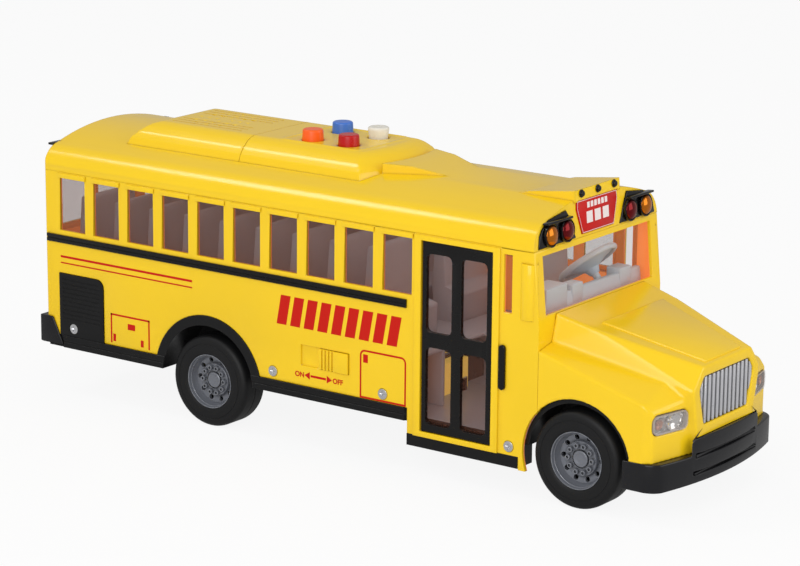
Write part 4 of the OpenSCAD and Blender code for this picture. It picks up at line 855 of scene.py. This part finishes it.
def makeHeadlights():        # a frame, a bowl and a smaller bowl behind each lens
    headSet = {"width": 19.4, "height": 7.8, "corner": 2.5, "wall": 0.55, "turn": 12.87, "front": 0.75,
               "back": -1.3, "cupX": -0.1, "bowlY": -2.0, "spotY": 5.9, "spotSize": 0.62, "count": 18}
    cupProfile = [(3.5, -1.2), (3.5, 0), (3.2, 0), (2.4, -0.5), (1.2, -0.9), (0.8, -0.9), (0.7, -0.2),
                  (0.4, 0.05), (0, 0.1)]
    wide, tall = headSet["width"] / 2, headSet["height"] / 2
    for side, sign in (("right", -1), ("left", 1)):
        low, high = corners("headlight_lens_" + side)
        centre = (low + high) / 2
        turn = sign * headSet["turn"]
        bezel = block("headlight_bezel_" + side, (headSet["back"], -wide, -tall),
                      (headSet["front"], wide, tall))
        pickEdges(bezel, lambda a, b: abs(a.x - b.x) > 1)
        bpy.ops.mesh.bevel(offset=headSet["corner"] * mm, segments=6, affect="EDGES")
        done()
        pickFaces(bezel, lambda c, n: abs(n.x) > 0.9)
        bpy.ops.mesh.delete(type="FACE")
        done()
        only(bezel)
        wall = bezel.modifiers.new("wall", "SOLIDIFY")
        wall.thickness = headSet["wall"] * mm
        wall.offset = -1
        bpy.ops.object.modifier_apply(modifier=wall.name)
        dress(smooth(place(bezel, centre, (0, 0, turn))), "bus", "grille_silver", bezelGrey)
        aim = Matrix.Rotation(math.radians(turn), 3, "Z")
        for name, size, y, material in (("bowl", 1, headSet["bowlY"], chrome),
                                        ("spot", headSet["spotSize"], headSet["spotY"], bulbAmber)):
            profile = [(r * size, h) for r, h in cupProfile]
            cup = turned("headlight_" + name + "_" + side, profile, headSet["count"])
            at = centre + aim @ Vector((headSet["cupX"], sign * y, 0))
            dress(place(cup, at, (0, 90, turn)), "bus", "grille_silver", material)
    print("headlights ready")


def makeLamps():        # domes in rings on the front and rear lamp boxes, the front ones leaning back
    lampSet = {"lean": 5.1, "radius": 4.2, "rise": 1.9, "foot": -0.6,
               "steps": (0, 12, 26, 42, 58, 74), "count": 40}
    ringProfile = [(4.3, -0.3), (4.95, -0.3), (4.95, 0.4), (4.65, 0.65), (4.3, 0.4), (4.3, -0.3)]
    angles = [math.radians(a) for a in lampSet["steps"]]
    domeProfile = [(lampSet["radius"], lampSet["foot"])]
    domeProfile += [(lampSet["radius"] * math.cos(a), lampSet["rise"] * math.sin(a)) for a in angles]
    domeProfile += [(0, lampSet["rise"])]
    rings = []
    for node, material, slot in (("amber_lenses", lensAmber, "lens_amber"),
                                 ("red_lenses", lensRed, "lens_red")):
        points = [v.co / mm for v in nodes[node].data.vertices]
        domes = []
        for end, side in ((1, -1), (1, 1), (-1, -1), (-1, 1)):
            group = [p for p in points if p.x * end > 0 and p.y * side > 0]
            if not group:
                continue
            lean = lampSet["lean"] if end > 0 else 0
            normal = Vector((end * math.cos(math.radians(lean)), 0, math.sin(math.radians(lean))))
            spans = [[p[i] for p in group] for i in range(3)]
            centre = Vector([(min(span) + max(span)) / 2 for span in spans])
            top = max(p.dot(normal) for p in group)
            base = centre + normal * (top - centre.dot(normal) - lampSet["rise"])
            turn = (0, 90 - lean if end > 0 else -90, 0)
            domes.append(place(turned("dome", domeProfile, lampSet["count"]), base, turn))
            rings.append(place(turned("ring", ringProfile, lampSet["count"], True), base, turn))
        dress(smooth(joined(node + "_domes", domes)), "bus", slot, material, node)
    dress(smooth(joined("lamp_rings", rings)), "bus", "trim_black", glossBlack)
    print("lamps ready")


def makeScrews():        # cross-head slots in the screws of both sides
    screwSet = {"spots": ((-146.75, 31.8), (-32.05, 31.8), (26.55, 31.8), (90.35, 20.8)), "slot": 0.55,
                "reach": 1.3, "depth": 0.9, "round": 0.3, "shortest": 0.1}
    screws = cast("body_screws", "body_screws_cross")
    roundEdges(screws, screwSet["round"], 2, screwSet["shortest"])
    low, high = corners("body_screws")
    long, thin, deep = screwSet["reach"], screwSet["slot"] / 2, screwSet["depth"]
    tools = []
    for x, z in screwSet["spots"]:
        for y in (low.y, high.y):
            for a, b in ((long, thin), (thin, long)):
                tools.append(block("slot", (x - a, y - deep, z - b), (x + a, y + deep, z + b)))
    cut(screws, joined("crosses", tools), True)
    dress(screws, "bus", "steel", steel, "body_screws")
    print("screws ready")


def makeSign():        # a white line along the edge and two rows of white bars
    signSet = {"edge": 0.2, "margin": 0.3, "line": 0.22, "lift": 0.06, "flat": 5, "round": 0.02,
               "shortest": 0.03}
    rows = ((3.1, 6, 1.9, 2.7, 2.4), (-2.0, 3, 4.6, 6.2, 4.8))        # height, number, width, pitch, tallness
    border = cast("sign_plate", "sign_face")
    pickFaces(border, lambda c, n: n.x > 0.9)
    bpy.ops.mesh.select_all(action="INVERT")
    bpy.ops.mesh.delete(type="FACE")
    bpy.ops.mesh.select_all(action="SELECT")
    bpy.ops.mesh.dissolve_limited(angle_limit=math.radians(signSet["flat"]))
    bpy.ops.mesh.select_all(action="SELECT")
    bpy.ops.mesh.inset(thickness=signSet["margin"] * mm, use_boundary=True)
    bpy.ops.mesh.select_all(action="INVERT")
    bpy.ops.mesh.delete(type="FACE")
    done()
    face = max(border.data.polygons, key=lambda f: f.area)
    normal, centre = face.normal.copy(), face.center / mm
    lean = math.degrees(math.asin(normal.z))
    bpy.ops.object.mode_set(mode="EDIT")
    bpy.ops.mesh.select_all(action="SELECT")
    bpy.ops.mesh.inset(thickness=signSet["line"] * mm, use_boundary=True)
    bpy.ops.mesh.delete(type="FACE")
    bpy.ops.mesh.select_all(action="SELECT")
    bpy.ops.transform.translate(value=normal * signSet["lift"] * mm)
    done()
    pieces = [border]
    for up, count, wide, pitch, tall in rows:
        for i in range(count):
            middle = (i - (count - 1) / 2) * pitch
            bar = block("bar", (0, middle - wide / 2, up - tall / 2),
                        (signSet["lift"], middle + wide / 2, up + tall / 2))
            roundEdges(bar, signSet["round"], 1, signSet["shortest"])
            pieces.append(place(bar, centre, (0, -lean, 0)))
    dress(joined("sign_print", pieces), "bus", "sign_red", printWhite)
    dress(softened("sign_plate", signSet["edge"]), "bus", "sign_red", signRed, "sign_plate")
    print("sign ready")


def makePrints():        # red prints on the right side
    printSet = {"thick": 0.06, "sunk": 0.1, "line": 0.8}
    barSet = {"count": 9, "width": 5.2, "gap": 2.1, "first": -30, "z": (53.5, 66.5), "slant": 2.4}
    flapSet = {"x": (-124.65, -101.75), "z": (29.3, 42.9)}
    hatchSet = {"x": (14.55, 38.55), "z": (28.3, 49.5), "corner": 2.6, "upper": 40}
    arrowSet = {"z": 33.0, "radius": 1.9, "depth": 0.12, "heads": ((-13.0, -90), (-2.0, 90))}
    wordSet = {"size": 3.1, "bold": 0.1, "depth": 0.03, "lift": 0.02, "z": 31.9}
    outer, line = -halfWidth - printSet["thick"], printSet["line"]
    left, right = flapSet["x"]
    foot, top = flapSet["z"]

    def stripe(x0, z0, x1, z1):
        return block("stripe", (x0, outer, z0), (x1, -halfWidth + printSet["sunk"], z1))

    pieces = []
    for i in range(barSet["count"]):
        start = barSet["first"] + i * (barSet["width"] + barSet["gap"])
        bar = stripe(start, barSet["z"][0], start + barSet["width"], barSet["z"][1])
        pickFaces(bar, lambda c, n: n.z > 0.9)
        bpy.ops.transform.translate(value=(barSet["slant"] * mm, 0, 0))
        done()
        pieces.append(bar)
    for span in (
            (-154, 64.3, -77, 65.3), (-154, 61.6, -77, 62.2),        # two lines below the windows
            (left, foot, left + line, top), (right - line, foot, right, top), (left, top - line, right, top),
            (-123.2, 30.2, -121.7, 33.6), (-107.0, 29.9, -105.4, 33.0), (-114.6, 36.7, -110.3, 39.4),
            (16.3, 43.9, 18.7, 47.5),        # the hatch's mark
            (-11.6, 32.5, -3.4, 33.5)):        # the arrow's shaft
        pieces.append(stripe(*span))
    (x0, x1), (z0, z1) = hatchSet["x"], hatchSet["z"]
    hatch = plate("hatch", (x0, outer, z0), (x1, outer, z1))
    pickPoints(hatch, lambda p: p.z > hatchSet["upper"])
    bpy.ops.mesh.bevel(offset=hatchSet["corner"] * mm, segments=6, affect="VERTICES")
    bpy.ops.mesh.select_mode(type="FACE")
    bpy.ops.mesh.select_all(action="SELECT")
    bpy.ops.mesh.inset(thickness=line * mm, use_boundary=True)
    bpy.ops.mesh.delete(type="FACE")
    done()
    pieces.append(hatch)
    for x, turn in arrowSet["heads"]:
        bpy.ops.mesh.primitive_cylinder_add(vertices=3, radius=arrowSet["radius"] * mm,
                                            depth=arrowSet["depth"] * mm)
        head = settle(bpy.context.object, "arrow")
        pieces.append(place(head, (x, -halfWidth, arrowSet["z"]), (90, turn, 0)))
    for word, x in (("ON", -20.0), ("OFF", 0.2)):
        bpy.ops.object.text_add(location=(0, 0, 0))
        label = bpy.context.object
        label.data.body = word
        label.data.size = wordSet["size"] * mm
        label.data.offset = wordSet["bold"] * mm
        label.data.extrude = wordSet["depth"] * mm
        only(label)
        bpy.ops.object.convert(target="MESH")
        label = bpy.context.object
        label.name = "switchWord"
        pieces.append(place(label, (x, -halfWidth - wordSet["lift"], wordSet["z"]), (90, 0, 0)))
    dress(joined("side_prints", pieces), "bus", "sign_red", printRed)
    print("prints ready")


def paintNodes():        # up-facing faces of the cabin's floor are a paler grey than the rest of the chassis and carry a faint painted glow
    floorSet = {"walls": (2.2, 2, 2), "up": 0.5, "glow": 0.05, "inside": srgb(150, 152, 158),
                "light": srgb(200, 204, 214)}
    tree = chassisBlack.node_tree
    mask = mathNode(tree, "MULTIPLY", insideMask(tree, *floorSet["walls"]),
                    facingMask(tree, "GREATER_THAN", floorSet["up"]))
    paintedGlowMask(chassisBlack, mask, floorSet["inside"], floorSet["light"], floorSet["glow"])
    paint(chassisBlack, "chassis", "battery_cover")
    paint(glazing, "rear_window", "door_glazing")
    paint(screenGlazing, "windscreen")
    paint(lensRed, "tail_lamps")
    paint(lensClear, "headlight_lens_right", "headlight_lens_left")
    paint(chrome, "headlight_reflectors")
    paint(dashGrey, "steering_wheel")
    paint(steel, "front_axle", "rear_axle", "flywheel")
    paint(silicone, "button_pad")
    paint(boardGreen, "circuit_board")
    paint(componentGrey, "speaker", "slide_switch")
    paint(gearWhite, "axle_gear", "gearbox")
    paint(cellWrap, "batteries")
    print("CAD nodes painted")


makeBody()
makeTrim()
makeCabin()
makeRoof()
makeHood()
makeConsole()
makeButtons()
makeWheels()
makeGlazing()
makeGrille()
makeHeadlights()
makeLamps()
makeScrews()
makeSign()
makePrints()
paintNodes()
